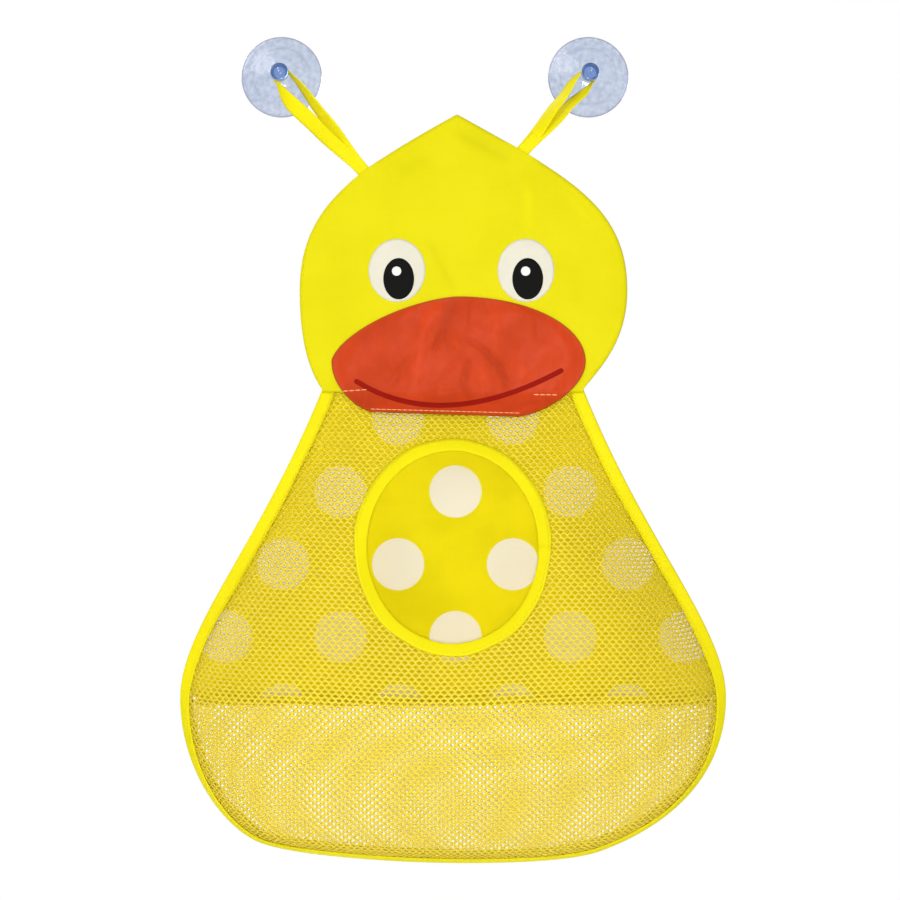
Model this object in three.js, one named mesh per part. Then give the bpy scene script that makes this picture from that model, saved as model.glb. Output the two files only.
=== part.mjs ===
// A duck-shaped net for bath toys, hanging by two tape loops on a pair of suction cups.
// Millimetres, +Z up. The wall is the plane Y = 0 and the front faces -Y. The origin lies on the wall,
// midway between the cups. The bag is modelled filled out, as it hangs in use.
import * as THREE from "three";

// Suction cups
const CUP_SPACING = 190;
const CUP_DIAMETER = 50;
const CUP_LIP_WIDTH = 4;
const CUP_LIP_EDGE = 1.2;
const CUP_HOLLOW_DEPTH = 3.6;
const CUP_HOLLOW_FULLNESS = 0.6;
const CUP_DOME_HEIGHT = 9;
const CUP_SHOULDER = new THREE.Vector2(0.72, 0.5);
const CUP_CROWN = new THREE.Vector2(0.3, 0.8);
const CUP_NECK_DIAMETER = 7;
const CUP_NECK_LENGTH = 7;
const KNOB_DIAMETER = 11;
const KNOB_LENGTH = 5;
const KNOB_ROUNDING = 1.2;

// Sheet goods, and the clearances between the layers
const CLOTH_THICKNESS = 0.6;
const NET_THICKNESS = 0.6;
const TAPE_THICKNESS = 0.6;
const TRANSFER_THICKNESS = 0.3;
const CLEARANCE = 0.3;
const WALL_GAP = 0.8;

// Tape loops and straps
const LOOP_TAPE_THICKNESS = 1.2;
const LOOP_SIDE_CLEARANCE = 0.7;
const LOOP_DROP = 17.4;
const LOOP_JOINED_LENGTH = 7;
const HINGE_GAP = 0.8;
const STRAP_TOP_WIDTH = 5.2;
const STRAP_WIDTH = 13;
const STRAP_THICKNESS = 1.5;
const STRAP_TAIL = 12;
const STRAP_SETTLE = 11;

// Bag outline. Drops are measured down from the peak of the head, reaches sideways from the peak.
const PEAK_OFFSET = 13.6;
const PEAK_DROP = 23.3;
const PEAK_SLOPE = THREE.MathUtils.degToRad(29);
const HEAD_WIDEST_DROP = 109;
const TEMPLE_HANDLE = 52;
const CHEEK_HANDLE = 34;
const NECK_DROP = 170.4;
const JAW_HANDLE = 12.4;
const JAW_ANGLE = THREE.MathUtils.degToRad(36);
const FLANK_HANDLE = 105.4;
const FLANK_ANGLE = THREE.MathUtils.degToRad(22);
const BELLY_DROP = 361;
const BELLY_UPPER_HANDLE = 43.4;
const BELLY_LOWER_HANDLE = 45;
const CORNER_SLOPE = THREE.MathUtils.degToRad(20);
const BOTTOM_HANDLE = 37;
const SIDES = {
  left: {
    sign: -1,
    loopLean: 20.6,
    strapRootDrop: 35.3,
    headReach: 97.3,
    shoulderHandle: 74,
    neckReach: 83.2,
    bellyReach: 171,
    cornerReach: 121,
    cornerDrop: 450.7,
    cornerHandle: 24,
    hemReach: 53.6,
    beakFullness: 1.55,
  },
  right: {
    sign: 1,
    loopLean: 13.2,
    strapRootDrop: 22.9,
    headReach: 105.4,
    shoulderHandle: 80,
    neckReach: 78,
    bellyReach: 166.2,
    cornerReach: 88.7,
    cornerDrop: 455.7,
    cornerHandle: 50,
    hemReach: 36.9,
    beakFullness: 2,
  },
};

// Net, its mouth and its bindings
const MOUTH_OFFSET = -2.7;
const MOUTH_DROP = 265;
const MOUTH_WIDTH = 105.4;
const MOUTH_HEIGHT = 116;
const MOUTH_TOP_DEPTH = 22;
const MOUTH_BOTTOM_DEPTH = 66;
const MOUTH_BINDING_WIDTH = 8;
const BELLY_SWELL = 15;
const SWELL_LEAN = 0.8;
const BELLY_ROUNDING = 1.2;
const BELLY_STEEPENING = 0.45;
const OUTER_BINDING_WIDTH = 8;
const LIP_CLEARANCE = 1;
const NET_TUCK = 7;
const NET_GAP_SHARE = 0.62;
const SEAM_TAPE_WIDTH = 10;
const DRAIN_GAP_WIDTH = 10.5;
const DRAIN_GAP_HEIGHT = 11.5;
const DRAIN_STRAND = 3;
const DRAIN_MARGIN = 2;

// Face
const EYE_SPACING = 79.5;
const EYES_OFFSET = 2.75;
const EYES_ABOVE_BEAK = 56;
const EYE_WIDTH = 35;
const EYE_HEIGHT = 39;
const PUPIL_WIDTH = 19;
const PUPIL_HEIGHT = 25.5;
const PUPIL_SHIFT = new THREE.Vector2(1.1, -5.1);
const GLINT_RADIUS = 2.9;
const GLINT_SHIFT = new THREE.Vector2(-1.3, 4.7);
const BEAK_OFFSET = 1;
const BEAK_ABOVE_NECK = 17.3;
const BEAK_WIDTH = 156.9;
const BEAK_TOP_WIDTH = 7;
const BEAK_RISE = 40;
const BEAK_HEM_DROP = 32;
const BEAK_JAW_POWER = 0.75;
const BEAK_NET_CLEARANCE = 1;
const MOUTH_LINE_WIDTH = 3;
const MOUTH_LINE_LEFT = new THREE.Vector2(-64.2, -11.5);
const MOUTH_LINE_SAG = new THREE.Vector2(-10.8, -45.8);
const MOUTH_LINE_RIGHT = new THREE.Vector2(64.5, -5);

// Facet counts
const CUP_SEGMENTS = 32;
const HOLLOW_STEPS = 5;
const DOME_STEPS = 8;
const CROWN_STEPS = 3;
const ELLIPSE_SEGMENTS = 20;
const STRAP_ROWS = 8;
const LOOP_ARC_STEPS = 14;
const HEAD_STEPS = 16;
const SIDE_STEPS = 16;
const LOWER_STEPS = 10;
const BOTTOM_STEPS = 14;
// The net's rays and rings are even in number, so that its diamonds close at both edges.
const NET_RAYS = 76;
const NET_RINGS = 6;
const BEAK_ROWS = 14;
const MOUTH_LINE_STEPS = 28;

// Limits of the searches along outlines
const HALVINGS = 40;
const PARALLEL = 1e-9;

// Depth of each layer's rear face in front of the wall, worked out from the wall outwards
const bindingRear = WALL_GAP;
const clothRear = bindingRear + TAPE_THICKNESS + CLEARANCE;
const netRear = clothRear + CLOTH_THICKNESS + CLEARANCE;
const bindingFront = netRear + NET_THICKNESS + CLEARANCE;
const headRear = Math.max(
  bindingFront + TAPE_THICKNESS + CLEARANCE,
  clothRear + CLOTH_THICKNESS + STRAP_THICKNESS + 2 * CLEARANCE,
);
const headFront = headRear + CLOTH_THICKNESS;
const beakRear = headFront + CLEARANCE;
const netMiddle = netRear + NET_THICKNESS / 2;
const strapMiddle = clothRear + CLOTH_THICKNESS + CLEARANCE + STRAP_THICKNESS / 2;
const loopRear = CUP_DOME_HEIGHT + LOOP_SIDE_CLEARANCE;
const loopWidth = CUP_NECK_LENGTH - 2 * LOOP_SIDE_CLEARANCE;
const loopMiddle = loopRear + loopWidth / 2;

// Materials

function cloth(colour, roughness) {
  return new THREE.MeshStandardMaterial({ color: colour, roughness, metalness: 0 });
}

const clearVinyl = new THREE.MeshStandardMaterial({
  color: 0xc4cfe2,
  roughness: 0.12,
  metalness: 0,
  transparent: true,
  opacity: 0.5,
});
const yellowCloth = cloth(0xf4e90e, 0.6);
const dottedCloth = cloth(0xefda0c, 0.65);
const yellowTape = cloth(0xfdee12, 0.55);
const creamNet = cloth(0xf3e3a4, 0.7);
const orangeCloth = cloth(0xd44f2b, 0.4);
const creamTransfer = cloth(0xf1eedb, 0.5);
const blackTransfer = cloth(0x191917, 0.45);
const redTransfer = cloth(0xa11e10, 0.45);

// Shape helpers

function piece(name, geometry, material) {
  const mesh = new THREE.Mesh(geometry, material);
  mesh.name = name;
  return mesh;
}

// A flat sheet cut to an outline in X and Z, from its rear depth forwards.
function sheet(shape, rearDepth, thickness) {
  const geometry = new THREE.ExtrudeGeometry(shape, {
    depth: thickness,
    bevelEnabled: false,
    curveSegments: ELLIPSE_SEGMENTS,
  });
  return geometry.rotateX(Math.PI / 2).translate(0, -rearDepth, 0);
}

function ellipseShape(centre, width, height) {
  return new THREE.Shape().absellipse(centre.x, centre.y, width / 2, height / 2, 0, 2 * Math.PI);
}

// The triangles that fill a convex section, all from its first corner.
function fanFaces(corners) {
  return Array.from({ length: corners - 2 }, (_, k) => [0, k + 1, k + 2]);
}

// Joins a row of matching closed sections into one solid. A closed loop has no ends; an open row is
// capped with the triangles given for its section.
function loft(sections, closedLoop, capFaces = fanFaces(sections[0].length)) {
  const around = sections[0].length;
  const last = closedLoop ? sections.length : sections.length - 1;
  const index = [];
  for (let row = 0; row < last; row++) {
    const next = (row + 1) % sections.length;
    for (let k = 0; k < around; k++) {
      const beside = (k + 1) % around;
      const a = row * around + k;
      const b = row * around + beside;
      const c = next * around + beside;
      const d = next * around + k;
      index.push(a, b, c, a, c, d);
    }
  }
  if (!closedLoop) {
    const end = (sections.length - 1) * around;
    for (const [a, b, c] of capFaces) {
      index.push(a, c, b, end + a, end + b, end + c);
    }
  }
  const points = sections.flat();
  if (enclosedVolume(points, index) < 0) index.reverse();
  return new THREE.BufferGeometry().setFromPoints(points).setIndex(index);
}

function enclosedVolume(points, index) {
  let volume = 0;
  for (let k = 0; k < index.length; k += 3) {
    const [a, b, c] = index.slice(k, k + 3).map((corner) => points[corner]);
    volume += new THREE.Vector3().crossVectors(a, b).dot(c) / 6;
  }
  return volume;
}

// The channel of a tape folded over an edge: two arms and the fold that joins them.
function foldedTape(foldAt, width, rear, front) {
  const inside = foldAt + TAPE_THICKNESS;
  return [
    [foldAt, rear - TAPE_THICKNESS],
    [foldAt + width, rear - TAPE_THICKNESS],
    [foldAt + width, rear],
    [inside, rear],
    [inside, front],
    [foldAt + width, front],
    [foldAt + width, front + TAPE_THICKNESS],
    [foldAt, front + TAPE_THICKNESS],
  ].map(([across, depth]) => new THREE.Vector2(across, depth));
}

// Outlines, each a chain of curves that runs clockwise as seen from the front

function at(x, z) {
  return new THREE.Vector2(x, z);
}

function headCurves(side) {
  const { sign, headReach, shoulderHandle, neckReach } = side;
  const upper = new THREE.CubicBezierCurve(
    at(0, 0),
    at(sign * shoulderHandle * Math.cos(PEAK_SLOPE), -shoulderHandle * Math.sin(PEAK_SLOPE)),
    at(sign * headReach, TEMPLE_HANDLE - HEAD_WIDEST_DROP),
    at(sign * headReach, -HEAD_WIDEST_DROP),
  );
  const lower = new THREE.CubicBezierCurve(
    at(sign * headReach, -HEAD_WIDEST_DROP),
    at(sign * headReach, -HEAD_WIDEST_DROP - CHEEK_HANDLE),
    at(
      sign * (neckReach + JAW_HANDLE * Math.sin(JAW_ANGLE)),
      JAW_HANDLE * Math.cos(JAW_ANGLE) - NECK_DROP,
    ),
    at(sign * neckReach, -NECK_DROP),
  );
  return [upper, lower];
}

function bodyCurves(side) {
  const { sign, neckReach, bellyReach, cornerReach, cornerDrop, cornerHandle } = side;
  const flank = new THREE.CubicBezierCurve(
    at(sign * neckReach, -NECK_DROP),
    at(
      sign * (neckReach + FLANK_HANDLE * Math.sin(FLANK_ANGLE)),
      -NECK_DROP - FLANK_HANDLE * Math.cos(FLANK_ANGLE),
    ),
    at(sign * bellyReach, BELLY_UPPER_HANDLE - BELLY_DROP),
    at(sign * bellyReach, -BELLY_DROP),
  );
  const lower = new THREE.CubicBezierCurve(
    at(sign * bellyReach, -BELLY_DROP),
    at(sign * bellyReach, -BELLY_DROP - BELLY_LOWER_HANDLE),
    at(
      sign * (cornerReach + cornerHandle * Math.cos(CORNER_SLOPE)),
      cornerHandle * Math.sin(CORNER_SLOPE) - cornerDrop,
    ),
    at(sign * cornerReach, -cornerDrop),
  );
  return [flank, lower];
}

function bottomHandle(side) {
  return at(
    side.sign * (side.cornerReach - BOTTOM_HANDLE * Math.cos(CORNER_SLOPE)),
    -side.cornerDrop - BOTTOM_HANDLE * Math.sin(CORNER_SLOPE),
  );
}

function cornerPoint(side) {
  return at(side.sign * side.cornerReach, -side.cornerDrop);
}

const bottomCurve = new THREE.CubicBezierCurve(
  cornerPoint(SIDES.right),
  bottomHandle(SIDES.right),
  bottomHandle(SIDES.left),
  cornerPoint(SIDES.left),
);

// Points along a curve with the direction that leads into the bag, down one side or back up the other.
function traced(curve, steps, upwards) {
  const marks = [];
  for (let k = 0; k <= steps; k++) {
    const share = upwards ? 1 - k / steps : k / steps;
    const along = curve.getTangent(share).multiplyScalar(upwards ? -1 : 1);
    marks.push({ point: curve.getPoint(share), inward: at(along.y, -along.x) });
  }
  return marks;
}

function joined(...runs) {
  return runs.flatMap((run, k) => (k ? run.slice(1) : run));
}

function inset(marks, distance) {
  return marks.map(({ point, inward }) => point.clone().addScaledVector(inward, distance));
}

// The start of the net's side edge, which runs on past the neck and is tucked behind the head.
function tuckMarks(side, upwards) {
  const topReach = side.neckReach - NET_TUCK * Math.tan(FLANK_ANGLE);
  const top = at(side.sign * topReach, NET_TUCK - NECK_DROP);
  const foot = at(side.sign * side.neckReach, -NECK_DROP);
  return traced(new THREE.LineCurve(top, foot), 1, upwards);
}

const [rightFlank, rightLower] = bodyCurves(SIDES.right);
const [leftFlank, leftLower] = bodyCurves(SIDES.left);
const upperRightMarks = traced(rightFlank, SIDE_STEPS, false);
const upperLeftMarks = traced(leftFlank, SIDE_STEPS, true);
const lowerMarks = joined(
  traced(rightLower, LOWER_STEPS, false),
  traced(bottomCurve, BOTTOM_STEPS, false),
  traced(leftLower, LOWER_STEPS, true),
);
const bodyMarks = joined(upperRightMarks, lowerMarks, upperLeftMarks);

function headMarks(side, upwards) {
  const runs = headCurves(side).map((curve) => traced(curve, HEAD_STEPS, upwards));
  return upwards ? joined(runs[1], runs[0]) : joined(runs[0], runs[1]);
}

// The point of the head's side edge at a given drop below the peak, found by halving.
function headEdge(side, drop) {
  const [upper] = headCurves(side);
  let low = 0;
  let high = 1;
  for (let k = 0; k < HALVINGS; k++) {
    const middle = (low + high) / 2;
    if (-upper.getPoint(middle).y < drop) low = middle;
    else high = middle;
  }
  return upper.getPoint(low);
}

// Suction cup: a lathed cup with a flat sealing lip, a neck for the tape loop and a round knob

function suctionCup() {
  const rim = CUP_DIAMETER / 2;
  const neck = CUP_NECK_DIAMETER / 2;
  const knob = KNOB_DIAMETER / 2;
  const neckTop = CUP_DOME_HEIGHT + CUP_NECK_LENGTH;
  const knobTop = neckTop + KNOB_LENGTH;
  const hollow = new THREE.QuadraticBezierCurve(
    at(0, CUP_HOLLOW_DEPTH),
    at((rim - CUP_LIP_WIDTH) * CUP_HOLLOW_FULLNESS, CUP_HOLLOW_DEPTH),
    at(rim - CUP_LIP_WIDTH, 0),
  );
  const dome = new THREE.CubicBezierCurve(
    at(rim, CUP_LIP_EDGE),
    at(rim * CUP_SHOULDER.x, CUP_DOME_HEIGHT * CUP_SHOULDER.y),
    at(neck + rim * CUP_CROWN.x, CUP_DOME_HEIGHT * CUP_CROWN.y),
    at(neck, CUP_DOME_HEIGHT),
  );
  const crown = new THREE.QuadraticBezierCurve(
    at(knob, knobTop - KNOB_ROUNDING),
    at(knob, knobTop),
    at(knob - KNOB_ROUNDING, knobTop),
  );
  const profile = [
    ...hollow.getPoints(HOLLOW_STEPS),
    at(rim, 0),
    ...dome.getPoints(DOME_STEPS),
    at(neck, neckTop),
    at(knob, neckTop),
    ...crown.getPoints(CROWN_STEPS),
    at(0, knobTop),
  ];
  return new THREE.LatheGeometry(profile, CUP_SEGMENTS).rotateX(Math.PI);
}

// Tape loop round the cup's neck: a teardrop band that ends at the line where the strap bends

function hingePoint(side) {
  return at(side.sign * (CUP_SPACING / 2 - side.loopLean), -LOOP_DROP);
}

function teardrop(radius, tip, tipHalfWidth) {
  const reach = tip.length();
  const heading = Math.atan2(tip.y, tip.x);
  const spread = Math.acos(radius / reach);
  const from = heading + spread;
  const sweep = 2 * (Math.PI - spread);
  const outline = [];
  for (let k = 0; k <= LOOP_ARC_STEPS; k++) {
    const angle = from + (sweep * k) / LOOP_ARC_STEPS;
    outline.push(at(radius * Math.cos(angle), radius * Math.sin(angle)));
  }
  if (tipHalfWidth) outline.push(at(tip.x - tipHalfWidth, tip.y), at(tip.x + tipHalfWidth, tip.y));
  else outline.push(tip);
  return outline;
}

function loopEye(side) {
  const neckGap = CUP_NECK_DIAMETER / 2 + CLEARANCE;
  const cupCentre = at((side.sign * CUP_SPACING) / 2, 0);
  const tip = hingePoint(side).sub(cupCentre);
  tip.y += HINGE_GAP / 2;
  const apex = tip.clone().setLength(tip.length() - LOOP_JOINED_LENGTH);
  const band = new THREE.Shape(teardrop(neckGap + LOOP_TAPE_THICKNESS, tip, STRAP_TOP_WIDTH / 2));
  band.holes.push(new THREE.Path(teardrop(neckGap, apex, 0)));
  return sheet(band, loopRear, loopWidth);
}

// Strap: the doubled tape, bunched at the loop and flat where it is sewn in behind the head

function strap(side) {
  const peak = at(PEAK_OFFSET, -PEAK_DROP);
  const top = hingePoint(side).sub(peak);
  const root = headEdge(side, side.strapRootDrop);
  const heading = root.clone().sub(top).normalize();
  const tail = root.clone().addScaledVector(heading, STRAP_TAIL);
  const slant = Math.abs(heading.y);
  const settled = root.y + STRAP_SETTLE;
  const levels = [top.y - HINGE_GAP / 2];
  for (let k = 1; k <= STRAP_ROWS; k++) {
    levels.push(THREE.MathUtils.lerp(levels[0], settled, k / STRAP_ROWS));
  }
  levels.push(tail.y);
  const sections = levels.map((level) => {
    const share = THREE.MathUtils.clamp((levels[0] - level) / (levels[0] - settled), 0, 1);
    const ease = THREE.MathUtils.smoothstep(share, 0, 1);
    const centre = top.x + (heading.x / heading.y) * (level - top.y);
    const half = THREE.MathUtils.lerp(STRAP_TOP_WIDTH / 2, STRAP_WIDTH / 2 / slant, ease);
    const thick = THREE.MathUtils.lerp(loopWidth / 2, STRAP_THICKNESS / 2, ease);
    const depth = THREE.MathUtils.lerp(loopMiddle, strapMiddle, ease);
    return [
      new THREE.Vector3(centre - half, -depth - thick, level),
      new THREE.Vector3(centre + half, -depth - thick, level),
      new THREE.Vector3(centre + half, -depth + thick, level),
      new THREE.Vector3(centre - half, -depth + thick, level),
    ];
  });
  return loft(sections, false);
}

// Cloth panels

function backPanel() {
  const edge = TAPE_THICKNESS + CLEARANCE;
  const outline = [
    ...inset(headMarks(SIDES.right, false), CLEARANCE).slice(0, -1),
    ...inset(upperRightMarks, edge),
    ...inset(upperLeftMarks, edge),
    ...inset(headMarks(SIDES.left, true), CLEARANCE).slice(1, -1),
  ];
  return sheet(new THREE.Shape(outline), clothRear, CLOTH_THICKNESS);
}

function headFrontPanel() {
  const outline = [
    ...inset(headMarks(SIDES.right, false), 0),
    ...inset(headMarks(SIDES.left, true), 0).slice(0, -1),
  ];
  return sheet(new THREE.Shape(outline), headRear, CLOTH_THICKNESS);
}

// Rear net below the cloth, with a coarse pattern of diamond gaps

function isInside(point, outline) {
  let inside = false;
  outline.forEach((a, k) => {
    const b = outline[(k + 1) % outline.length];
    const crosses = a.y > point.y !== b.y > point.y;
    if (crosses && point.x < a.x + ((b.x - a.x) * (point.y - a.y)) / (b.y - a.y)) inside = !inside;
  });
  return inside;
}

function rearDrainNet() {
  const outline = inset(lowerMarks, TAPE_THICKNESS + CLEARANCE);
  const top = -BELLY_DROP - CLEARANCE;
  outline[0].y = top;
  outline[outline.length - 1].y = top;
  const net = new THREE.Shape(outline);
  const field = inset(lowerMarks, OUTER_BINDING_WIDTH + DRAIN_MARGIN);
  const ceiling = -BELLY_DROP - SEAM_TAPE_WIDTH / 2 - DRAIN_MARGIN;
  const halfWidth = DRAIN_GAP_WIDTH / 2;
  const halfHeight = DRAIN_GAP_HEIGHT / 2;
  const pitch = DRAIN_GAP_WIDTH + DRAIN_STRAND;
  const rowDrop = (DRAIN_GAP_HEIGHT + DRAIN_STRAND) / 2;
  const rowCount = Math.floor((SIDES.right.cornerDrop + BOTTOM_HANDLE - BELLY_DROP) / rowDrop);
  const perSide = Math.floor(SIDES.left.bellyReach / pitch);
  for (let row = 0; row < rowCount; row++) {
    const level = ceiling - halfHeight - row * rowDrop;
    for (let k = -perSide; k <= perSide; k++) {
      const x = (k + (row % 2) / 2) * pitch;
      const gap = [
        at(x - halfWidth, level),
        at(x, level - halfHeight),
        at(x + halfWidth, level),
        at(x, level + halfHeight),
      ];
      if (gap.every((corner) => isInside(corner, field))) net.holes.push(new THREE.Path(gap));
    }
  }
  return sheet(net, clothRear, NET_THICKNESS);
}

function rearSeamTape() {
  const inner = OUTER_BINDING_WIDTH + LIP_CLEARANCE;
  const left = inner - SIDES.left.bellyReach;
  const right = SIDES.right.bellyReach - inner;
  const strip = new THREE.BoxGeometry(right - left, TAPE_THICKNESS, SEAM_TAPE_WIDTH);
  return strip.translate((left + right) / 2, -bindingRear - TAPE_THICKNESS / 2, -BELLY_DROP);
}

// Outer binding: tape folded over the edges of the front net and the back

function outerBinding() {
  const channel = foldedTape(0, OUTER_BINDING_WIDTH, bindingRear + TAPE_THICKNESS, bindingFront);
  const capFaces = THREE.ShapeUtils.triangulateShape(channel, []);
  const levelCut = { right: at(-1, 0), left: at(1, 0) };
  const marks = [
    { point: bodyMarks[0].point, inward: levelCut.right },
    ...bodyMarks.slice(1, -1),
    { point: bodyMarks[bodyMarks.length - 1].point, inward: levelCut.left },
  ];
  const sections = marks.map(({ point, inward }) =>
    channel.map(({ x: across, y: depth }) => {
      const place = point.clone().addScaledVector(inward, across);
      return new THREE.Vector3(place.x, -depth, place.y);
    }),
  );
  return loft(sections, false, capFaces);
}

// Front net: lofted along rays from the rim of the mouth out to the seam

// The net's edge a given distance inside the outline, closed by a level line across the neck.
function netEdge(distance) {
  const top = NET_TUCK - NECK_DROP - distance;
  const edge = inset(bodyMarks, distance);
  const tucked = joined(
    inset(tuckMarks(SIDES.right, false), distance),
    edge,
    inset(tuckMarks(SIDES.left, true), distance),
  );
  const outline = [];
  tucked.forEach((point, k) => {
    const before = tucked[k - 1];
    if (before && before.y > top !== point.y > top) {
      outline.push(before.clone().lerp(point, (before.y - top) / (before.y - point.y)));
    }
    if (point.y <= top) outline.push(point);
  });
  return outline;
}

// Where a ray from the middle of the mouth leaves an outline, as a multiple of its heading.
function rayReach(outline, from, heading) {
  let reach = 0;
  outline.forEach((a, k) => {
    const b = outline[(k + 1) % outline.length];
    const edge = b.clone().sub(a);
    const turn = heading.cross(edge);
    if (Math.abs(turn) < PARALLEL) return;
    const gap = a.clone().sub(from);
    const share = gap.cross(heading) / turn;
    const meets = share >= -PARALLEL && share <= 1 + PARALLEL;
    if (meets) reach = Math.max(reach, gap.cross(edge) / turn);
  });
  return reach;
}

function evenlySpaced(outline, count) {
  const loop = new THREE.CurvePath();
  outline.forEach((a, k) => loop.add(new THREE.LineCurve(a, outline[(k + 1) % outline.length])));
  return Array.from({ length: count }, (_, k) => loop.getPoint(k / count));
}

const mouthCentre = at(MOUTH_OFFSET, -MOUTH_DROP);

// Net depth along one ray: the mouth leans forward at its foot, and the net falls back to the seam in
// a straight slope near the neck and in a full curve round the belly.
function netDepth(rimPoint, share) {
  const fall = (mouthCentre.y + MOUTH_HEIGHT / 2 - rimPoint.y) / MOUTH_HEIGHT;
  const rimDepth = THREE.MathUtils.lerp(MOUTH_TOP_DEPTH, MOUTH_BOTTOM_DEPTH, fall);
  const fullness = THREE.MathUtils.smoothstep(fall, 0, 1);
  const curve = (1 - share ** (1 + BELLY_ROUNDING * fullness)) ** (1 - BELLY_STEEPENING * fullness);
  const swell = BELLY_SWELL * fullness * Math.sin(Math.PI * share ** SWELL_LEAN);
  return netMiddle + (rimDepth - netMiddle) * curve + swell;
}

const netRays = (() => {
  const seamEdge = netEdge(TAPE_THICKNESS + CLEARANCE);
  const lipEdge = netEdge(OUTER_BINDING_WIDTH + LIP_CLEARANCE);
  return evenlySpaced(seamEdge, NET_RAYS).map((seam) => {
    const heading = seam.clone().sub(mouthCentre);
    const rimReach = 1 / Math.hypot(heading.x / (MOUTH_WIDTH / 2), heading.y / (MOUTH_HEIGHT / 2));
    const rim = mouthCentre.clone().addScaledVector(heading, rimReach);
    const lip = mouthCentre.clone().addScaledVector(heading, rayReach(lipEdge, mouthCentre, heading));
    return { seam, lip, rim };
  });
})();

function netPoint({ rim, lip }, share) {
  const place = rim.clone().lerp(lip, share);
  return new THREE.Vector3(place.x, -netDepth(rim, share), place.y);
}

// The middle surface of the net, one row of points for each ray, from the rim to the seam.
const netGrid = netRays.map((ray) => {
  const underBinding = MOUTH_BINDING_WIDTH / ray.rim.distanceTo(ray.lip);
  const row = [netPoint(ray, 0)];
  for (let k = 0; k <= NET_RINGS; k++) {
    row.push(netPoint(ray, THREE.MathUtils.lerp(underBinding, 1, k / NET_RINGS)));
  }
  row.push(new THREE.Vector3(ray.seam.x, -netMiddle, ray.seam.y));
  return row;
});

function netNormal(ray, ring) {
  const around = netGrid.length;
  const before = netGrid[(ray + around - 1) % around][ring];
  const after = netGrid[(ray + 1) % around][ring];
  const row = netGrid[ray];
  const inner = row[Math.max(ring - 1, 0)];
  const outer = row[Math.min(ring + 1, row.length - 1)];
  const along = after.clone().sub(before);
  const across = outer.clone().sub(inner);
  const normal = along.cross(across).normalize();
  return normal.y > 0 ? normal.negate() : normal;
}

// One shell: plain strips under the two bindings, and between them rows of diamonds, each with a gap
// in its middle. Its corners come in pairs, the front one first.
function frontNet() {
  const half = NET_THICKNESS / 2;
  const lip = NET_RINGS + 1;
  const seam = lip + 1;
  const points = [];
  const index = [];

  function pair(point, normal) {
    points.push(point.clone().addScaledVector(normal, half));
    points.push(point.clone().addScaledVector(normal, -half));
    return points.length - 2;
  }
  function normalAt(ray, ring) {
    if (ring === seam) return new THREE.Vector3(0, -1, 0);
    return netNormal(ray, ring === 1 ? 0 : ring);
  }
  const made = new Map();
  function corner(ray, ring) {
    const around = (ray + NET_RAYS) % NET_RAYS;
    const key = `${around} ${ring}`;
    if (!made.has(key)) made.set(key, pair(netGrid[around][ring], normalAt(around, ring)));
    return made.get(key);
  }
  function patch(a, b, c) {
    index.push(a, b, c, a + 1, c + 1, b + 1);
  }
  function wall(a, b) {
    index.push(b, a, a + 1, b, a + 1, b + 1);
  }
  function strip(ray, ring) {
    const inner = [corner(ray, ring), corner(ray + 1, ring)];
    const outer = [corner(ray, ring + 1), corner(ray + 1, ring + 1)];
    patch(inner[0], outer[0], outer[1]);
    patch(inner[0], outer[1], inner[1]);
  }
  function diamond(ray, ring) {
    const steps = [[-1, 0], [0, 1], [1, 0], [0, -1]];
    const centre = netGrid[ray][ring];
    const normal = normalAt(ray, ring);
    const outer = steps.map(([r, k]) => corner(ray + r, ring + k));
    const inner = steps.map(([r, k]) => {
      const towards = netGrid[(ray + r + NET_RAYS) % NET_RAYS][ring + k];
      return pair(centre.clone().lerp(towards, NET_GAP_SHARE), normal);
    });
    steps.forEach((_, k) => {
      const next = (k + 1) % steps.length;
      patch(outer[k], outer[next], inner[next]);
      patch(outer[k], inner[next], inner[k]);
      wall(inner[next], inner[k]);
    });
  }

  for (let ray = 0; ray < NET_RAYS; ray++) {
    strip(ray, 0);
    strip(ray, lip);
    wall(corner(ray + 1, 0), corner(ray, 0));
    wall(corner(ray, seam), corner(ray + 1, seam));
    for (let ring = 2; ring < lip; ring++) {
      if ((ray + ring) % 2 === 1) diamond(ray, ring);
    }
    if (ray % 2 === 0) {
      patch(corner(ray - 1, 1), corner(ray, 2), corner(ray, 1));
      patch(corner(ray, 1), corner(ray, 2), corner(ray + 1, 1));
      patch(corner(ray - 1, lip), corner(ray, lip), corner(ray, lip - 1));
      patch(corner(ray, lip), corner(ray + 1, lip), corner(ray, lip - 1));
    }
  }
  if (enclosedVolume(points, index) < 0) index.reverse();
  return new THREE.BufferGeometry().setFromPoints(points).setIndex(index);
}

function mouthBinding() {
  const reach = NET_THICKNESS / 2 + CLEARANCE;
  const channel = foldedTape(-TAPE_THICKNESS - CLEARANCE, MOUTH_BINDING_WIDTH, -reach, reach);
  const sections = netGrid.map((row, ray) => {
    const outwards = row[1].clone().sub(row[0]).normalize();
    const normal = netNormal(ray, 0);
    return channel.map(({ x: across, y: depth }) =>
      row[0].clone().addScaledVector(outwards, across).addScaledVector(normal, depth),
    );
  });
  return loft(sections, true);
}

// Face: printed eyes and the beak, whose lower edge hangs over the top of the net

const beakCentre = at(BEAK_OFFSET, BEAK_ABOVE_NECK - NECK_DROP);

function eyeCentre(sign) {
  return at(EYES_OFFSET + (sign * EYE_SPACING) / 2, beakCentre.y + EYES_ABOVE_BEAK);
}

function eyeWhite(sign) {
  return sheet(ellipseShape(eyeCentre(sign), EYE_WIDTH, EYE_HEIGHT), beakRear, TRANSFER_THICKNESS);
}

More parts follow.
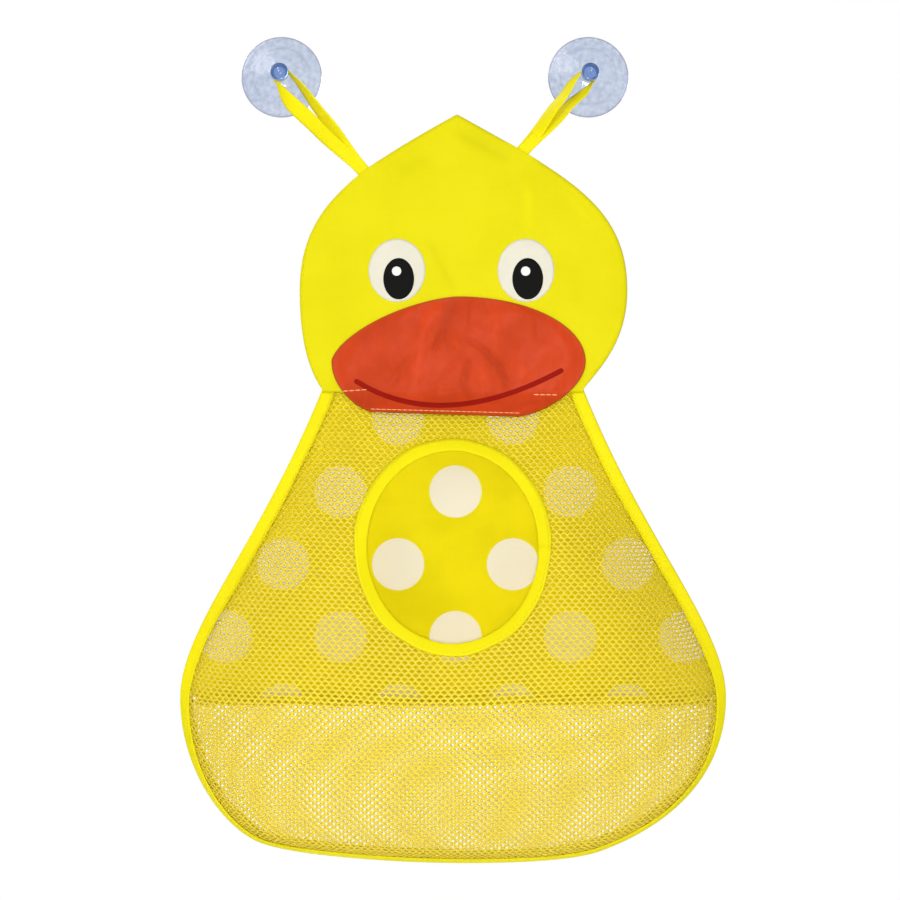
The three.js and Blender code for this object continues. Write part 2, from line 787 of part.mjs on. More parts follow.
function pupil(sign) {
  const centre = eyeCentre(sign).add(PUPIL_SHIFT);
  const disc = ellipseShape(centre, PUPIL_WIDTH, PUPIL_HEIGHT);
  const glint = ellipseShape(centre.clone().add(GLINT_SHIFT), 2 * GLINT_RADIUS, 2 * GLINT_RADIUS);
  disc.holes.push(glint);
  return sheet(disc, beakRear + TRANSFER_THICKNESS + CLEARANCE, TRANSFER_THICKNESS);
}

// Rear depth of the beak at a drop below the peak: flat on the head, then sloping out over the net.
function beakDepth(drop) {
  const rimTop = at(mouthCentre.x, mouthCentre.y + MOUTH_HEIGHT / 2);
  const lipDrop = NECK_DROP + OUTER_BINDING_WIDTH + LIP_CLEARANCE - NET_TUCK;
  const share = THREE.MathUtils.clamp((-rimTop.y - drop) / (-rimTop.y - lipDrop), 0, 1);
  const overNet = netDepth(rimTop, share) + NET_THICKNESS / 2 + BEAK_NET_CLEARANCE;
  return Math.max(beakRear, overNet);
}

function beakReach(side, level) {
  const half = BEAK_WIDTH / 2;
  const fullness = side.beakFullness;
  if (level >= 0) return half * (1 - (level / BEAK_RISE) ** fullness) ** (1 / fullness);
  const share = -level / BEAK_HEM_DROP;
  return side.hemReach + (half - side.hemReach) * (1 - share ** 2) ** BEAK_JAW_POWER;
}

function beakPanel() {
  const sections = [];
  const topLevel = BEAK_RISE * Math.sqrt(1 - (BEAK_TOP_WIDTH / BEAK_WIDTH) ** 2);
  for (let k = 0; k <= 2 * BEAK_ROWS; k++) {
    const turn = (k / BEAK_ROWS - 1) * (Math.PI / 2);
    const level = -Math.sin(turn) * (turn < 0 ? topLevel : BEAK_HEM_DROP);
    const left = beakCentre.x - beakReach(SIDES.left, level);
    const right = beakCentre.x + beakReach(SIDES.right, level);
    const z = beakCentre.y + level;
    const rear = -beakDepth(-z);
    const front = rear - CLOTH_THICKNESS;
    sections.push([
      new THREE.Vector3(left, front, z),
      new THREE.Vector3(right, front, z),
      new THREE.Vector3(right, rear, z),
      new THREE.Vector3(left, rear, z),
    ]);
  }
  return loft(sections, false);
}

function mouthLine() {
  const corners = [MOUTH_LINE_LEFT, MOUTH_LINE_SAG, MOUTH_LINE_RIGHT];
  const smile = new THREE.QuadraticBezierCurve(...corners.map((point) => point.clone().add(beakCentre)));
  const sections = [];
  for (let k = 0; k <= MOUTH_LINE_STEPS; k++) {
    const point = smile.getPoint(k / MOUTH_LINE_STEPS);
    const along = smile.getTangent(k / MOUTH_LINE_STEPS);
    const across = at(-along.y, along.x).multiplyScalar(MOUTH_LINE_WIDTH / 2);
    const lift = CLOTH_THICKNESS + CLEARANCE;
    const edges = [point.clone().sub(across), point.clone().add(across)];
    const rear = edges.map((p) => new THREE.Vector3(p.x, -beakDepth(-p.y) - lift, p.y));
    const front = rear.map((p) => p.clone().add(new THREE.Vector3(0, -TRANSFER_THICKNESS, 0)));
    sections.push([front[0], front[1], rear[1], rear[0]]);
  }
  return loft(sections, false);
}

// Assembly: the cups and loops hang in the frame of the wall, the bag in the frame of its peak

const organizer = new THREE.Group();
const bag = new THREE.Group();
bag.position.set(PEAK_OFFSET, 0, -PEAK_DROP);
organizer.add(bag);

for (const [name, side] of Object.entries(SIDES)) {
  const hanger = new THREE.Group();
  hanger.position.set((side.sign * CUP_SPACING) / 2, 0, 0);
  hanger.add(piece(`${name}_suction_cup`, suctionCup(), clearVinyl));
  hanger.add(piece(`${name}_loop_eye`, loopEye(side), yellowTape));
  organizer.add(hanger);
  bag.add(piece(`${name}_strap`, strap(side), yellowTape));
  bag.add(piece(`${name}_eye_white`, eyeWhite(side.sign), creamTransfer));
  bag.add(piece(`${name}_pupil`, pupil(side.sign), blackTransfer));
}
bag.add(piece("back_panel", backPanel(), dottedCloth));
bag.add(piece("head_front_panel", headFrontPanel(), yellowCloth));
bag.add(piece("beak_panel", beakPanel(), orangeCloth));
bag.add(piece("mouth_line", mouthLine(), redTransfer));
bag.add(piece("front_net", frontNet(), creamNet));
bag.add(piece("mouth_binding", mouthBinding(), yellowTape));
bag.add(piece("rear_drain_net", rearDrainNet(), creamNet));
bag.add(piece("rear_seam_tape", rearSeamTape(), yellowTape));
bag.add(piece("outer_binding", outerBinding(), yellowTape));

export default organizer;
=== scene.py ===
"""Looks of a duck-shaped net for bath toys that hangs by two tape loops on suction cups.

Shapes are worked out in millimetres, in the part's own frame: X to the right, Y into the wall, Z up.
Depth means the distance in front of the wall. A mesh is scaled to metres when its piece is made.
"""
import math

import bpy
import numpy as np
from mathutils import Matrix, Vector


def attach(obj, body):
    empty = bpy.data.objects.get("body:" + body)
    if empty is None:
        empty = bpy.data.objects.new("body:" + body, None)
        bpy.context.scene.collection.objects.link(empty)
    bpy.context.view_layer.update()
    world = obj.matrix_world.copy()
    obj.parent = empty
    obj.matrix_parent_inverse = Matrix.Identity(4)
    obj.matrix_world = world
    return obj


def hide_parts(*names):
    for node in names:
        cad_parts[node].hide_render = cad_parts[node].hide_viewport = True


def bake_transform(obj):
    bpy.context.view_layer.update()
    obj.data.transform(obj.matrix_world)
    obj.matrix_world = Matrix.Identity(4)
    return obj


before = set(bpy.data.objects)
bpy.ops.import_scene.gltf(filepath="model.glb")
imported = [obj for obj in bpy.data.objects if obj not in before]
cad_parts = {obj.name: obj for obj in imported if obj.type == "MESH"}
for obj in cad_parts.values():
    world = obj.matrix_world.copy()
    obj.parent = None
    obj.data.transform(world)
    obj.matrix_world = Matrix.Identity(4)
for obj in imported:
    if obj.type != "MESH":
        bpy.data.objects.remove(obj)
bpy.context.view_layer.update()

MM = 0.001

# Guards against rounding
TINY = 1e-9
EDGE_SLACK = 1e-6

# Outline of the bag. Drops run down from the peak of the head, reaches sideways from it.
PEAK = np.array([13.6, -23.3])
PEAK_SLOPE = math.radians(29)
HEAD_WIDEST_DROP = 109.0
TEMPLE_HANDLE = 52.0
CHEEK_HANDLE = 34.0
NECK_DROP = 170.4
JAW_HANDLE = 12.4
JAW_ANGLE = math.radians(36)
FLANK_HANDLE = 105.4
FLANK_ANGLE = math.radians(22)
BELLY_DROP = 361.0
BELLY_UPPER_HANDLE = 43.4
BELLY_LOWER_HANDLE = 45.0
CORNER_SLOPE = math.radians(20)
BOTTOM_HANDLE = 37.0
SIDES = {
    "left": {
        "sign": -1,
        "head_reach": 97.3,
        "shoulder_handle": 74.0,
        "neck_reach": 83.2,
        "belly_reach": 171.0,
        "corner_reach": 121.0,
        "corner_drop": 450.7,
        "corner_handle": 24.0,
        "hem_reach": 53.6,
        "strap_root_drop": 35.3,
        "slit_end": 41.0,
        "beak_fullness": 1.55,
        # Seen widths of the tape's two legs, the one to the left first, at stations from the cup's axis.
        "leg_stations": (3.0, 14.0, 26.0, 42.0, 78.0),
        "leg_widths": ((0.9, 8.2, 9.4, 8.8, 8.2), (0.9, 3.4, 5.0, 6.4, 8.2)),
    },
    "right": {
        "sign": 1,
        "head_reach": 105.4,
        "shoulder_handle": 80.0,
        "neck_reach": 78.0,
        "belly_reach": 166.2,
        "corner_reach": 88.7,
        "corner_drop": 455.7,
        "corner_handle": 50.0,
        "hem_reach": 36.9,
        "strap_root_drop": 22.9,
        "slit_end": 25.0,
        "beak_fullness": 2.0,
        "leg_stations": (3.0, 10.0, 22.0, 33.0, 59.0),
        "leg_widths": ((0.9, 4.4, 5.8, 7.0, 8.2), (0.9, 5.2, 6.4, 7.8, 8.2)),
    },
}

# Depths of the flat layers
BACK_DEPTH = 2.3
TAPE_REAR_DEPTH = 1.1
NET_EDGE_DEPTH = 2.9
TAPE_FRONT_DEPTH = 3.8
HEAD_RIM_DEPTH = 2.9
HEAD_STRAP_DEPTH = 4.6
HEAD_FLAT_DEPTH = 5.0
HEAD_PILLOW = 3.4
HEAD_ROLL = 2.6
HEAD_LAP = 1.4
CLOTH_THICKNESS = 0.5
TAPE_THICKNESS = 0.6
PRINT_LIFT = 0.16

# Net and its bindings
MOUTH_CENTRE = PEAK + (-2.7, -265.0)
MOUTH_HALF = np.array([52.7, 58.0])
MOUTH_TOP_DEPTH = 22.0
MOUTH_BOTTOM_DEPTH = 66.0
BELLY_SWELL = 15.0
SWELL_LEAN = 0.8
BELLY_ROUNDING = 1.2
BELLY_STEEPENING = 0.45
TAPE_WIDTH = 8.0
TAPE_TILT = math.radians(62)
# Distances below the cups' axes between which the binding opens
TILT_DROPS = (290, 470)
NET_TUCK = 7.0
NET_SEAM_INSET = 1.2
NET_LIP_GAP = 0.6
NET_PITCH = 4.25
NET_ROW = 2.38
NET_UPRIGHT = 0.8
NET_OPENING = 0.66
NET_FLATNESS = 0.72
NET_RISE = 0.18
NET_THIN_SHARE = 0.1
NET_EVENNESS = 0.15
# Slow drift of the net's rows, sideways and upwards: size, length and start
NET_DRIFT = ((1.6, 31, 0.6), (1.3, 27, 1.9))
REAR_NET_INSET = 1.4
REAR_NET_SINK = 0.3
REAR_NET_WAVE = (0.25, 60)
MOUTH_TAPE_DEPTH = 0.75
MOUTH_TAPE_OVERLAP = 1.2
SEAM_GAP = 0.4
SEAM_TAPE_WIDTH = 10.0
SEAM_TAPE_INSET = 1.2
SEAM_TAPE_REAR_DEPTH = 0.85
SEAM_TAPE_FRONT_DEPTH = 1.4
SEAM_TAPE_CROWN = 0.12
SEAM_STITCH_DEPTH = 0.8
SEAM_STITCH_REACH = 3.8
# Unevenness of the sewn tapes: size, turns and start of each wave
OUTER_WIDTH_WAVER = ((0.35, 1 / 23, 0), (0.2, 1 / 9, 1))
OUTER_FRONT_WAVER = ((0.25, 1 / 14, 0.5),)
MOUTH_WIDTH_WAVER = ((0.25, 7, 0), (0.18, 13, 1))
MOUTH_LIFT_WAVER = ((0.2, 9, 0.4),)
SEAM_LEVEL_WAVER = ((0.25, 1 / 31, 0),)
SEAM_WIDTH_WAVER = ((0.2, 1 / 13, 0),)

# How the cloth lies. A fade is the two distances between which something sets in, a wave its size and length.
SHEET_CROWDING = 0.85
BACK_EDGE_GAP = 0.7
BACK_BULGE = 1.1
BACK_WAVES = ((0.9, 95), (0.35, 41))
BACK_EDGE_FADE = (8, 40)
BACK_SEAM_FADE = (4, 40)
BACK_NECK_FADE = (14, 50)
HEAD_STRAP_FADE = (8, 15)
HEAD_NECK_FADE = (-2, 30)
HEAD_LAP_FADE = (0, 9)
HEAD_FOLD_FADE = (3, 9)
HEAD_WAVE_FADE = (5, 30)
HEAD_WAVE = (0.5, 88)
PILLOW_RUN = 26.0
PUCKER_HEIGHT = 0.16
PUCKER_RUN = 7.0
PUCKER_FADE = (0.5, 4)
PUCKER_LENGTH = 2.3
PUCKER_DRIFT = (2, 17)
BEAK_CROWDING = 0.5
BEAK_EDGE_FADE = (1, 12)
BEAK_NET_FADE = (-30, 10)
BEAK_NET_GAP = 1.9
BEAK_HEAD_GAP = 0.2
BEAK_STEP_ROUNDING = 1.6
BEAK_WAVES = ((0.5, 38), (0.25, 17))
BEAK_FOLD_SHARE = 0.7
BEAK_LIFT = 1.1
FOLD_START_FADE = (-0.15, 0.25)
FOLD_END_FADE = (0.75, 1.15)

# Face
EYE_CENTRES = {"left": PEAK + (-37.0, -97.1), "right": PEAK + (42.5, -97.1)}
EYE_HALF = np.array([17.5, 19.5])
PUPIL_HALF = np.array([9.5, 12.75])
PUPIL_SHIFT = np.array([1.1, -5.1])
GLINT_SHIFT = np.array([-0.2, -0.4])
GLINT_HALF = np.array([2.9, 2.9])
BEAK_CENTRE = PEAK + (1.0, -153.1)
BEAK_HALF_WIDTH = 78.45
BEAK_TOP_WIDTH = 7.0
BEAK_RISE = 40.0
BEAK_HEM_DROP = 32.0
BEAK_JAW_POWER = 0.75
HEM_SAG = 0.9
HEM_SLOPE = 0.031
MOUTH_LINE = [BEAK_CENTRE + p for p in ((-64.2, -11.5), (-10.8, -45.8), (64.5, -5.0))]
MOUTH_LINE_WIDTH = 3.0
MOUTH_LINE_TIP = 0.05
PRINT_THICKNESS_SHARE = 0.8

# Stitches: step, length and thickness of the thread
TAPE_STITCH = (3.0, 2.3, 0.55)
HEM_STITCH = (3.2, 3.5, 0.62)
TACK_STITCH = (3.2, 3.7, 0.85)
STITCH_LIFT = 0.15
HEM_STITCH_RISE = 1.9
HEM_STITCH_INSET = 1.0
TAPE_STITCH_INSET = 0.3
TAPE_STITCH_LIFT = 0.06
# Ends of the two short rows of stitches beside the smile
TACK_LINES = (((-55.18, -194.618), (-43.71, -193.874)), ((62.62, -196.85), (73.78, -196.974)))

# Suction cups and tape loops
CUP_REACH = 95.0
CUP_RADIUS = 25.0
NECK_RADIUS = 3.5
KNOB_DEPTH = 15.7
LOOP_RADIUS = 4.3
LOOP_DEPTH = 12.5
LOOP_WIDTH = 5.4
LOOP_TAPE_THICKNESS = 0.7
LOOP_CURL = 0.3
STRAP_DEPTH = 3.35
STRAP_WIDTH = 10.0
STRAP_ROOT_WIDTH = 8.2
STRAP_TAIL = 11.0
LEG_SPACING = 0.74
SLIT_TIGHTNESS = 0.45
SLIT_START = 2.0
# Where along a leg its width, depth and overlap change. Ends are measured back from the strap's root.
LEG_OVERLAP_LEAD = 4.0
LEG_WIDENING = (4, 18)
LEG_NARROWING_END = 6.0
LEG_SINK_START = 16.0
LEG_SINK_END = 8.0
LEG_SPACING_START = 8.0
CURL_END_FADE = (18.0, 5.0)
TAPE_EDGE_POWER = 8
TAPE_EDGE_LEAST = 0.12

# Colours, as linear light
YELLOW_HEAD = (0.569, 0.514, 0.0019, 1)
YELLOW_BACK = (0.775, 0.68, 0.002, 1)
YELLOW_TAPE = (0.667, 0.588, 0.0028, 1)
CREAM_DOT = (0.775, 0.735, 0.615, 1)
PALE_NET = (0.99, 0.85, 0.04, 1)
NET_GLOW = (0.96, 0.87, 0.62, 1)
CREAM_EYE = (0.565, 0.542, 0.444, 1)
ORANGE_BEAK = (0.44, 0.038, 0.0056, 1)
ORANGE_EDGE = (0.306, 0.051, 0.0019, 1)
RED_LINE = (0.231, 0.0065, 0.0028, 1)
BLACK_PUPIL = (0.004, 0.004, 0.0035, 1)
WHITE_GLINT = (0.648, 0.639, 0.611, 1)
PEACH_THREAD = (0.80, 0.36, 0.15, 1)
VINYL = (0.62, 0.68, 0.80, 1)
VINYL_DEEP = (0.38, 0.45, 0.62, 1)
VINYL_KNOB = (0.10, 0.19, 0.45, 1)
VINYL_KNOB_DEEP = (0.07, 0.14, 0.36, 1)
VINYL_LINE = (0.33, 0.33, 0.44, 1)
PALE_FLOOR = (0.95, 0.95, 0.94, 1)

# Patterns and welds, in metres
DOT_SHIFT = (-12.7 * MM, 0, 256.7 * MM)
DOT_ACROSS = 71 * MM
DOT_DOWN = 90 * MM
DOT_RADIUS = 16.1 * MM
DOT_SOFTNESS = 0.35 * MM
BEAK_EDGE_BAND = (0.6 * MM, 1.2 * MM)
VINYL_RIM_BAND = (23.8 * MM, 24.7 * MM)
HOLLOW_RING = 17.2 * MM
HOLLOW_RING_BAND = (0.2 * MM, 1.0 * MM)
CELL_WELD = 0.1 * MM
NET_WELD = 0.01 * MM

# Surfaces: threads and slubs per metre, the height of a full crease in millimetres, and shares of light
CLOTH_THREADS = 2200.0
TAPE_THREADS = 1500.0
BEAK_THREADS = 2600.0
SLUBS_ACROSS = 900.0
SLUBS_ALONG = 22.0
CREASE_HEIGHT = 1.2
# Painted shade in fold valleys and painted light on fold ridges, as factors on the cloth's colour
FOLD_PAINTED_SHADE = 0.85
FOLD_PAINTED_LIGHT = 1.15
BACK_TRANSLUCENCY = 0.35
NET_TRANSLUCENCY = 0.55
VINYL_IOR = 1.42
CUP_CLEARNESS = 0.90
KNOB_CLEARNESS = 0.55

# Stage. The floor is in millimetres, the rest in metres.
FLOOR_LEVEL = -900.0
FLOOR_RADIUS = 1650.0
WORLD_LIGHT = 0.54
WORLD_SEEN = 1.0
VIEW_X = 0.0093
VIEW_Z = -0.231
VIEW_DISTANCE = 1.30
VIEW_WIDTH = 0.558
SENSOR_WIDTH = 36.0
BAG_MIDDLE = (0.01, -0.02, -0.24)
# Soft lights: where each stands, what it is turned to, the length of its side and its power
LIGHTS = {
    "front_light": ((VIEW_X, -1.36, VIEW_Z), (VIEW_X, 0, VIEW_Z), 0.06, 12.2),
    "key_light": ((-0.95, -1.15, 0.85), BAG_MIDDLE, 0.9, 9.7),
    "fill_light": ((1.1, -1.2, 0.1), BAG_MIDDLE, 1.1, 3.2),
    "back_light": ((-1.2, 1.3, 0.7), BAG_MIDDLE, 0.9, 24),
}


# Curves and outlines

def bezier(corners, count=40):
    """Points along a quadratic or cubic curve, both ends included."""
    points = np.array(corners, float)[:, None, :]
    share = np.linspace(0, 1, count)[None, :, None]
    while len(points) > 1:
        points = points[:-1] * (1 - share) + points[1:] * share
    return points[0]


def run_length(points):
    """Distance along a row of points, from the first one."""
    return np.concatenate([[0], np.cumsum(np.linalg.norm(np.diff(points, axis=0), axis=1))])


def evenly(points, count):
    """A row of points set out again at even steps, both ends included."""
    along = run_length(points)
    stations = np.linspace(0, along[-1], count)
    return np.stack([np.interp(stations, along, axis) for axis in points.T], axis=1)


def smooth(value, low, high):
    """Rises from 0 at low to 1 at high, level at both ends."""
    share = np.clip((value - low) / (high - low), 0, 1)
    return share * share * (3 - 2 * share)


def mix(a, b, share):
    """A share of the way from a to b."""
    return a + (b - a) * share


def unit(vectors):
    """A row of vectors, each brought to length 1."""
    return vectors / np.linalg.norm(vectors, axis=1, keepdims=True)


def circle(count):
    """Even angles all round, and the directions that they point in."""
    angles = np.linspace(0, 2 * math.pi, count, endpoint=False)
    return angles, np.stack([np.cos(angles), np.sin(angles)], axis=1)


def head_edge(side):
    """The head's side edge from the peak down to the neck."""
    s = side["sign"]
    reach, neck = side["head_reach"], side["neck_reach"]
    shoulder = side["shoulder_handle"]
    upper = bezier([
        (0, 0),
        (s * shoulder * math.cos(PEAK_SLOPE), -shoulder * math.sin(PEAK_SLOPE)),
        (s * reach, TEMPLE_HANDLE - HEAD_WIDEST_DROP),
        (s * reach, -HEAD_WIDEST_DROP),
    ])
    lower = bezier([
        (s * reach, -HEAD_WIDEST_DROP),
        (s * reach, -HEAD_WIDEST_DROP - CHEEK_HANDLE),
        (s * (neck + JAW_HANDLE * math.sin(JAW_ANGLE)), JAW_HANDLE * math.cos(JAW_ANGLE) - NECK_DROP),
        (s * neck, -NECK_DROP),
    ])
    return PEAK + np.vstack([upper, lower[1:]])


def body_edge(side):
    """The body's side edge from the neck down to the bottom corner."""
    s = side["sign"]
    neck, belly = side["neck_reach"], side["belly_reach"]
    corner, drop, handle = side["corner_reach"], side["corner_drop"], side["corner_handle"]
    flank_reach = neck + FLANK_HANDLE * math.sin(FLANK_ANGLE)
    flank = bezier([
        (s * neck, -NECK_DROP),
        (s * flank_reach, -NECK_DROP - FLANK_HANDLE * math.cos(FLANK_ANGLE)),
        (s * belly, BELLY_UPPER_HANDLE - BELLY_DROP),
        (s * belly, -BELLY_DROP),
    ])
    lower = bezier([
        (s * belly, -BELLY_DROP),
        (s * belly, -BELLY_DROP - BELLY_LOWER_HANDLE),
        (s * (corner + handle * math.cos(CORNER_SLOPE)), handle * math.sin(CORNER_SLOPE) - drop),
        (s * corner, -drop),
    ])
    return PEAK + np.vstack([flank, lower[1:]])


def bottom_edge():
    """The bottom edge from the right corner to the left one."""
    corners = []
    for name in ("right", "left"):
        side = SIDES[name]
        inner = side["corner_reach"] - BOTTOM_HANDLE * math.cos(CORNER_SLOPE)
        lower = side["corner_drop"] + BOTTOM_HANDLE * math.sin(CORNER_SLOPE)
        corners.append([
            (side["sign"] * side["corner_reach"], -side["corner_drop"]),
            (side["sign"] * inner, -lower),
        ])
    return PEAK + bezier([corners[0][0], corners[0][1], corners[1][1], corners[1][0]])


HEAD_EDGES = {name: head_edge(side) for name, side in SIDES.items()}
BODY_EDGES = {name: body_edge(side) for name, side in SIDES.items()}
BOTTOM_EDGE = bottom_edge()
HEAD_LINE = np.vstack([HEAD_EDGES["left"][::-1], HEAD_EDGES["right"][1:]])
BODY_LINE = np.vstack([BODY_EDGES["right"], BOTTOM_EDGE[1:], BODY_EDGES["left"][::-1][1:]])
NECK_LEVEL = PEAK[1] - NECK_DROP
BELLY_LEVEL = PEAK[1] - BELLY_DROP


def inward(points):
    """Unit directions into the bag along an edge that runs clockwise as seen from the front."""
    along = unit(np.gradient(points, axis=0))
    return np.stack([along[:, 1], -along[:, 0]], axis=1)


def edge_distance(places, line):
    """Distance of each place from a row of points, and how far along the row the nearest point lies."""
    starts, steps = line[:-1], np.diff(line, axis=0)
    lengths = np.linalg.norm(steps, axis=1)
    best = np.full(len(places), np.inf)
    where = np.zeros(len(places))
    begun = 0.0
    for start, step, length in zip(starts, steps, lengths):
        share = np.clip((places - start) @ step / max(length**2, TINY), 0, 1)
        gap = np.linalg.norm(places - start - share[:, None] * step, axis=1)
        nearer = gap < best
        best[nearer] = gap[nearer]
        where[nearer] = begun + share[nearer] * length
        begun += length
    return best, where


def edge_at(levels, edge):
    """X of an edge at each level. The edge runs downwards."""
    return np.interp(levels, edge[::-1, 1], edge[::-1, 0])


def edge_point(edge, drop):
    """The point of an edge a given drop below the peak."""
    level = PEAK[1] - drop
    return np.array([edge_at(level, edge), level])


# Waves of a ripple: turns across, turns up and start
WAVES = ((1.0, 0.3, 0.2), (-0.45, 0.9, 1.9), (0.75, -1.15, 4.1), (1.7, 0.9, 2.6), (-1.3, 1.6, 5.2))


def ripple(x, z, length):
    """A soft uneven surface between about -1 and 1, with waves of about the given length."""
    turn = 2 * math.pi / length
    total = sum(np.sin(turn * (a * x + b * z) + start) for a, b, start in WAVES)
    return total / len(WAVES)


def slack(places, waves):
    """Uneven slack of loose cloth: a broad wave, and a shorter one turned across it."""
    (broad, broad_length), (short, short_length) = waves
    x, z = places.T
    return broad * ripple(x, z, broad_length) + short * ripple(z, x, short_length)


def waver(at, waves):
    """Unevenness of a sewn tape along its run."""
    return sum(size * np.sin(turns * at + start) for size, turns, start in waves)


# Meshes

def grid_faces(rows, columns, round_rows=False, round_columns=False):
    """Quads of a grid of points numbered row by row."""
    faces = []
    for r in range(rows if round_rows else rows - 1):
        here = r * columns
        below = (r + 1) % rows * columns
        for c in range(columns if round_columns else columns - 1):
            beside = (c + 1) % columns
            faces.append((here + c, below + c, below + beside, here + beside))
    return faces


def disc_faces(rings, around):
    """Faces of a round sheet whose points are its middle and then ring after ring."""
    middle = [(0, 1 + k, 1 + (k + 1) % around) for k in range(around)]
    quads = grid_faces(rings, around, round_columns=True)
    return middle + [tuple(1 + corner for corner in quad) for quad in quads]


def add_object(name, data):
    """Puts an object in the scene."""
    made = bpy.data.objects.new(name, data)
    bpy.context.scene.collection.objects.link(made)
    return made


def new_piece(name, points, faces, material, flat=None):
    """A smooth mesh piece from points in millimetres. flat gives each point's place on the uncut cloth."""
    mesh = bpy.data.meshes.new(name)
    mesh.from_pydata((np.asarray(points, float) * MM).tolist(), [], faces)
    if flat is not None:
        corner_points = np.empty(len(mesh.loops), np.int32)
        mesh.loops.foreach_get("vertex_index", corner_points)
        layer = mesh.uv_layers.new(name="cloth")
        layer.data.foreach_set("uv", (np.asarray(flat, float) * MM)[corner_points].astype(np.float32).ravel())
    mesh.shade_smooth()
    mesh.materials.append(material)
    return add_object(name, mesh)


def settle(piece):
    """Turns what a piece's modifiers make into its plain mesh."""
    graph = bpy.context.evaluated_depsgraph_get()
    made = bpy.data.meshes.new_from_object(piece.evaluated_get(graph))
    piece.modifiers.clear()
    first = piece.data
    piece.data = made
    bpy.data.meshes.remove(first)
    made.name = piece.name
    return piece


def thicken(piece, thickness):
    """Gives a sheet its thickness, behind its front face."""
    solid = piece.modifiers.new("thickness", "SOLIDIFY")
    solid.thickness = thickness * MM
    solid.offset = -1
    solid.use_even_offset = False
    return settle(piece)


def seen_places(piece):
    """Where a piece's points lie on the wall plane, in millimetres."""
    return np.array([(point.co.x, point.co.z) for point in piece.data.vertices]) / MM


def mark(piece, name, values):
    """Keeps a number on each point of a piece, for its material."""
    layer = piece.data.attributes.new(name, "FLOAT", "POINT")
    layer.data.foreach_set("value", np.asarray(values, np.float32))


def in_front(places, depths):
    """Places on the wall plane brought forward to their depths."""
    return np.stack([places[:, 0], -np.asarray(depths, float), places[:, 1]], axis=1)


def falling_rows(first_drops, even_drop, lowest, count):
    """Levels of a panel's rows: the first ones close below the peak, then even steps down to the lowest."""
    return np.concatenate([PEAK[1] - np.array(first_drops), np.linspace(PEAK[1] - even_drop, lowest, count)])


def crowded(count, crowding):
    """Shares from 0 to 1 that lie closer together towards both ends."""
    even = np.linspace(0, 1, count)
    return mix(even, (1 - np.cos(math.pi * even)) / 2, crowding)


def rows_between(levels, left, right, shares):
    """Places in level rows between two side edges, at the same shares of every row."""
    x = left[:, None] + (right - left)[:, None] * shares
    return np.stack([x, np.broadcast_to(levels[:, None], x.shape)], axis=2)


def cloth_sheet(name, levels, left, right, depth_of, material, columns):
    """A sheet of cloth set out in level rows between two side edges, shaped by a depth function."""
    places = rows_between(levels, left, right, crowded(columns, SHEET_CROWDING)).reshape(-1, 2)
    faces = grid_faces(len(levels), columns)
    piece = new_piece(name, in_front(places, depth_of(places)), faces, material, places)
    return thicken(piece, CLOTH_THICKNESS)


def paired(value, row):
    """One number beside each number of a row."""
    return np.stack([np.full(len(row), value), row], axis=1)


def sweep(name, sections, material, flat=None, closed=False):
    """A solid along a row of closed sections; an open row gets flat ends."""
    rows, around = sections.shape[:2]
    faces = grid_faces(rows, around, round_rows=closed, round_columns=True)
    if not closed:
        faces.append(tuple(range(around)))
        faces.append(tuple((rows - 1) * around + k for k in reversed(range(around))))
    piece = new_piece(name, sections.reshape(-1, 3), faces, material, flat)
    face_outwards(piece)
    return piece


def face_outwards(piece):
    """Turns a closed mesh right side out."""
    mesh = piece.data
    mesh.calc_loop_triangles()
    corners = np.empty(len(mesh.loop_triangles) * 3, np.int32)
    mesh.loop_triangles.foreach_get("vertices", corners)
    points = np.empty(len(mesh.vertices) * 3)
    mesh.vertices.foreach_get("co", points)
    a, b, c = np.moveaxis(points.reshape(-1, 3)[corners.reshape(-1, 3)], 1, 0)
    if np.einsum("ij,ij->", a, np.cross(b, c)) < 0:
        mesh.flip_normals()


# Node trees

def node(tree, kind, inputs=None, **settings):
    """Adds a node. Inputs are set by name or number, to a value or to another node's socket."""
    made = tree.nodes.new(kind)
    for name, value in settings.items():
        setattr(made, name, value)
    for key, value in (inputs or {}).items():
        if isinstance(value, bpy.types.NodeSocket):
            tree.links.new(value, made.inputs[key])
        else:
            made.inputs[key].default_value = value
    return made


def maths(tree, operation, first, second=0.0, third=0.0):
    """Adds a calculation with up to three numbers."""
    made = node(tree, "ShaderNodeMath", {0: first, 1: second, 2: third}, operation=operation)
    return made.outputs[0]


def scaled(tree, vector, scale):
    """A vector times a number."""
    return node(tree, "ShaderNodeVectorMath", {0: vector, "Scale": scale}, operation="SCALE").outputs[0]


def distance_of(tree, x, z):
    """Distance of a place from the middle of a pattern."""
    squares = [maths(tree, "POWER", part, 2.0) for part in (x, z)]
    return maths(tree, "SQRT", maths(tree, "ADD", *squares))


def ramp(tree, value, low=0.0, high=1.0, start=0.0, end=1.0, soft=False):
    """Takes a value between low and high over to the range from start to end, and stops at both ends."""
    kind = "SMOOTHSTEP" if soft else "LINEAR"
    inputs = {0: value, 1: low, 2: high, 3: start, 4: end}
    return node(tree, "ShaderNodeMapRange", inputs, interpolation_type=kind).outputs[0]


def noise(tree, place, scale, detail, distortion=0.0):
    """An uneven tone, mostly between 0.3 and 0.7."""
    inputs = {"Vector": place, "Scale": scale, "Detail": detail, "Distortion": distortion}
    return node(tree, "ShaderNodeTexNoise", inputs).outputs[0]


def mix_colours(tree, share, first, second, way="MIX"):
    """A share of the second colour on the first one."""
    inputs = {0: share, 6: first, 7: second}
    return node(tree, "ShaderNodeMix", inputs, data_type="RGBA", blend_type=way).outputs[2]


def bump(tree, height, relief, strength, under=None):
    """Fine relief in millimetres, on top of another one where that is given."""
    inputs = {"Height": height, "Distance": relief * MM, "Strength": strength}
    if under is not None:
        inputs["Normal"] = under
    return node(tree, "ShaderNodeBump", inputs).outputs[0]


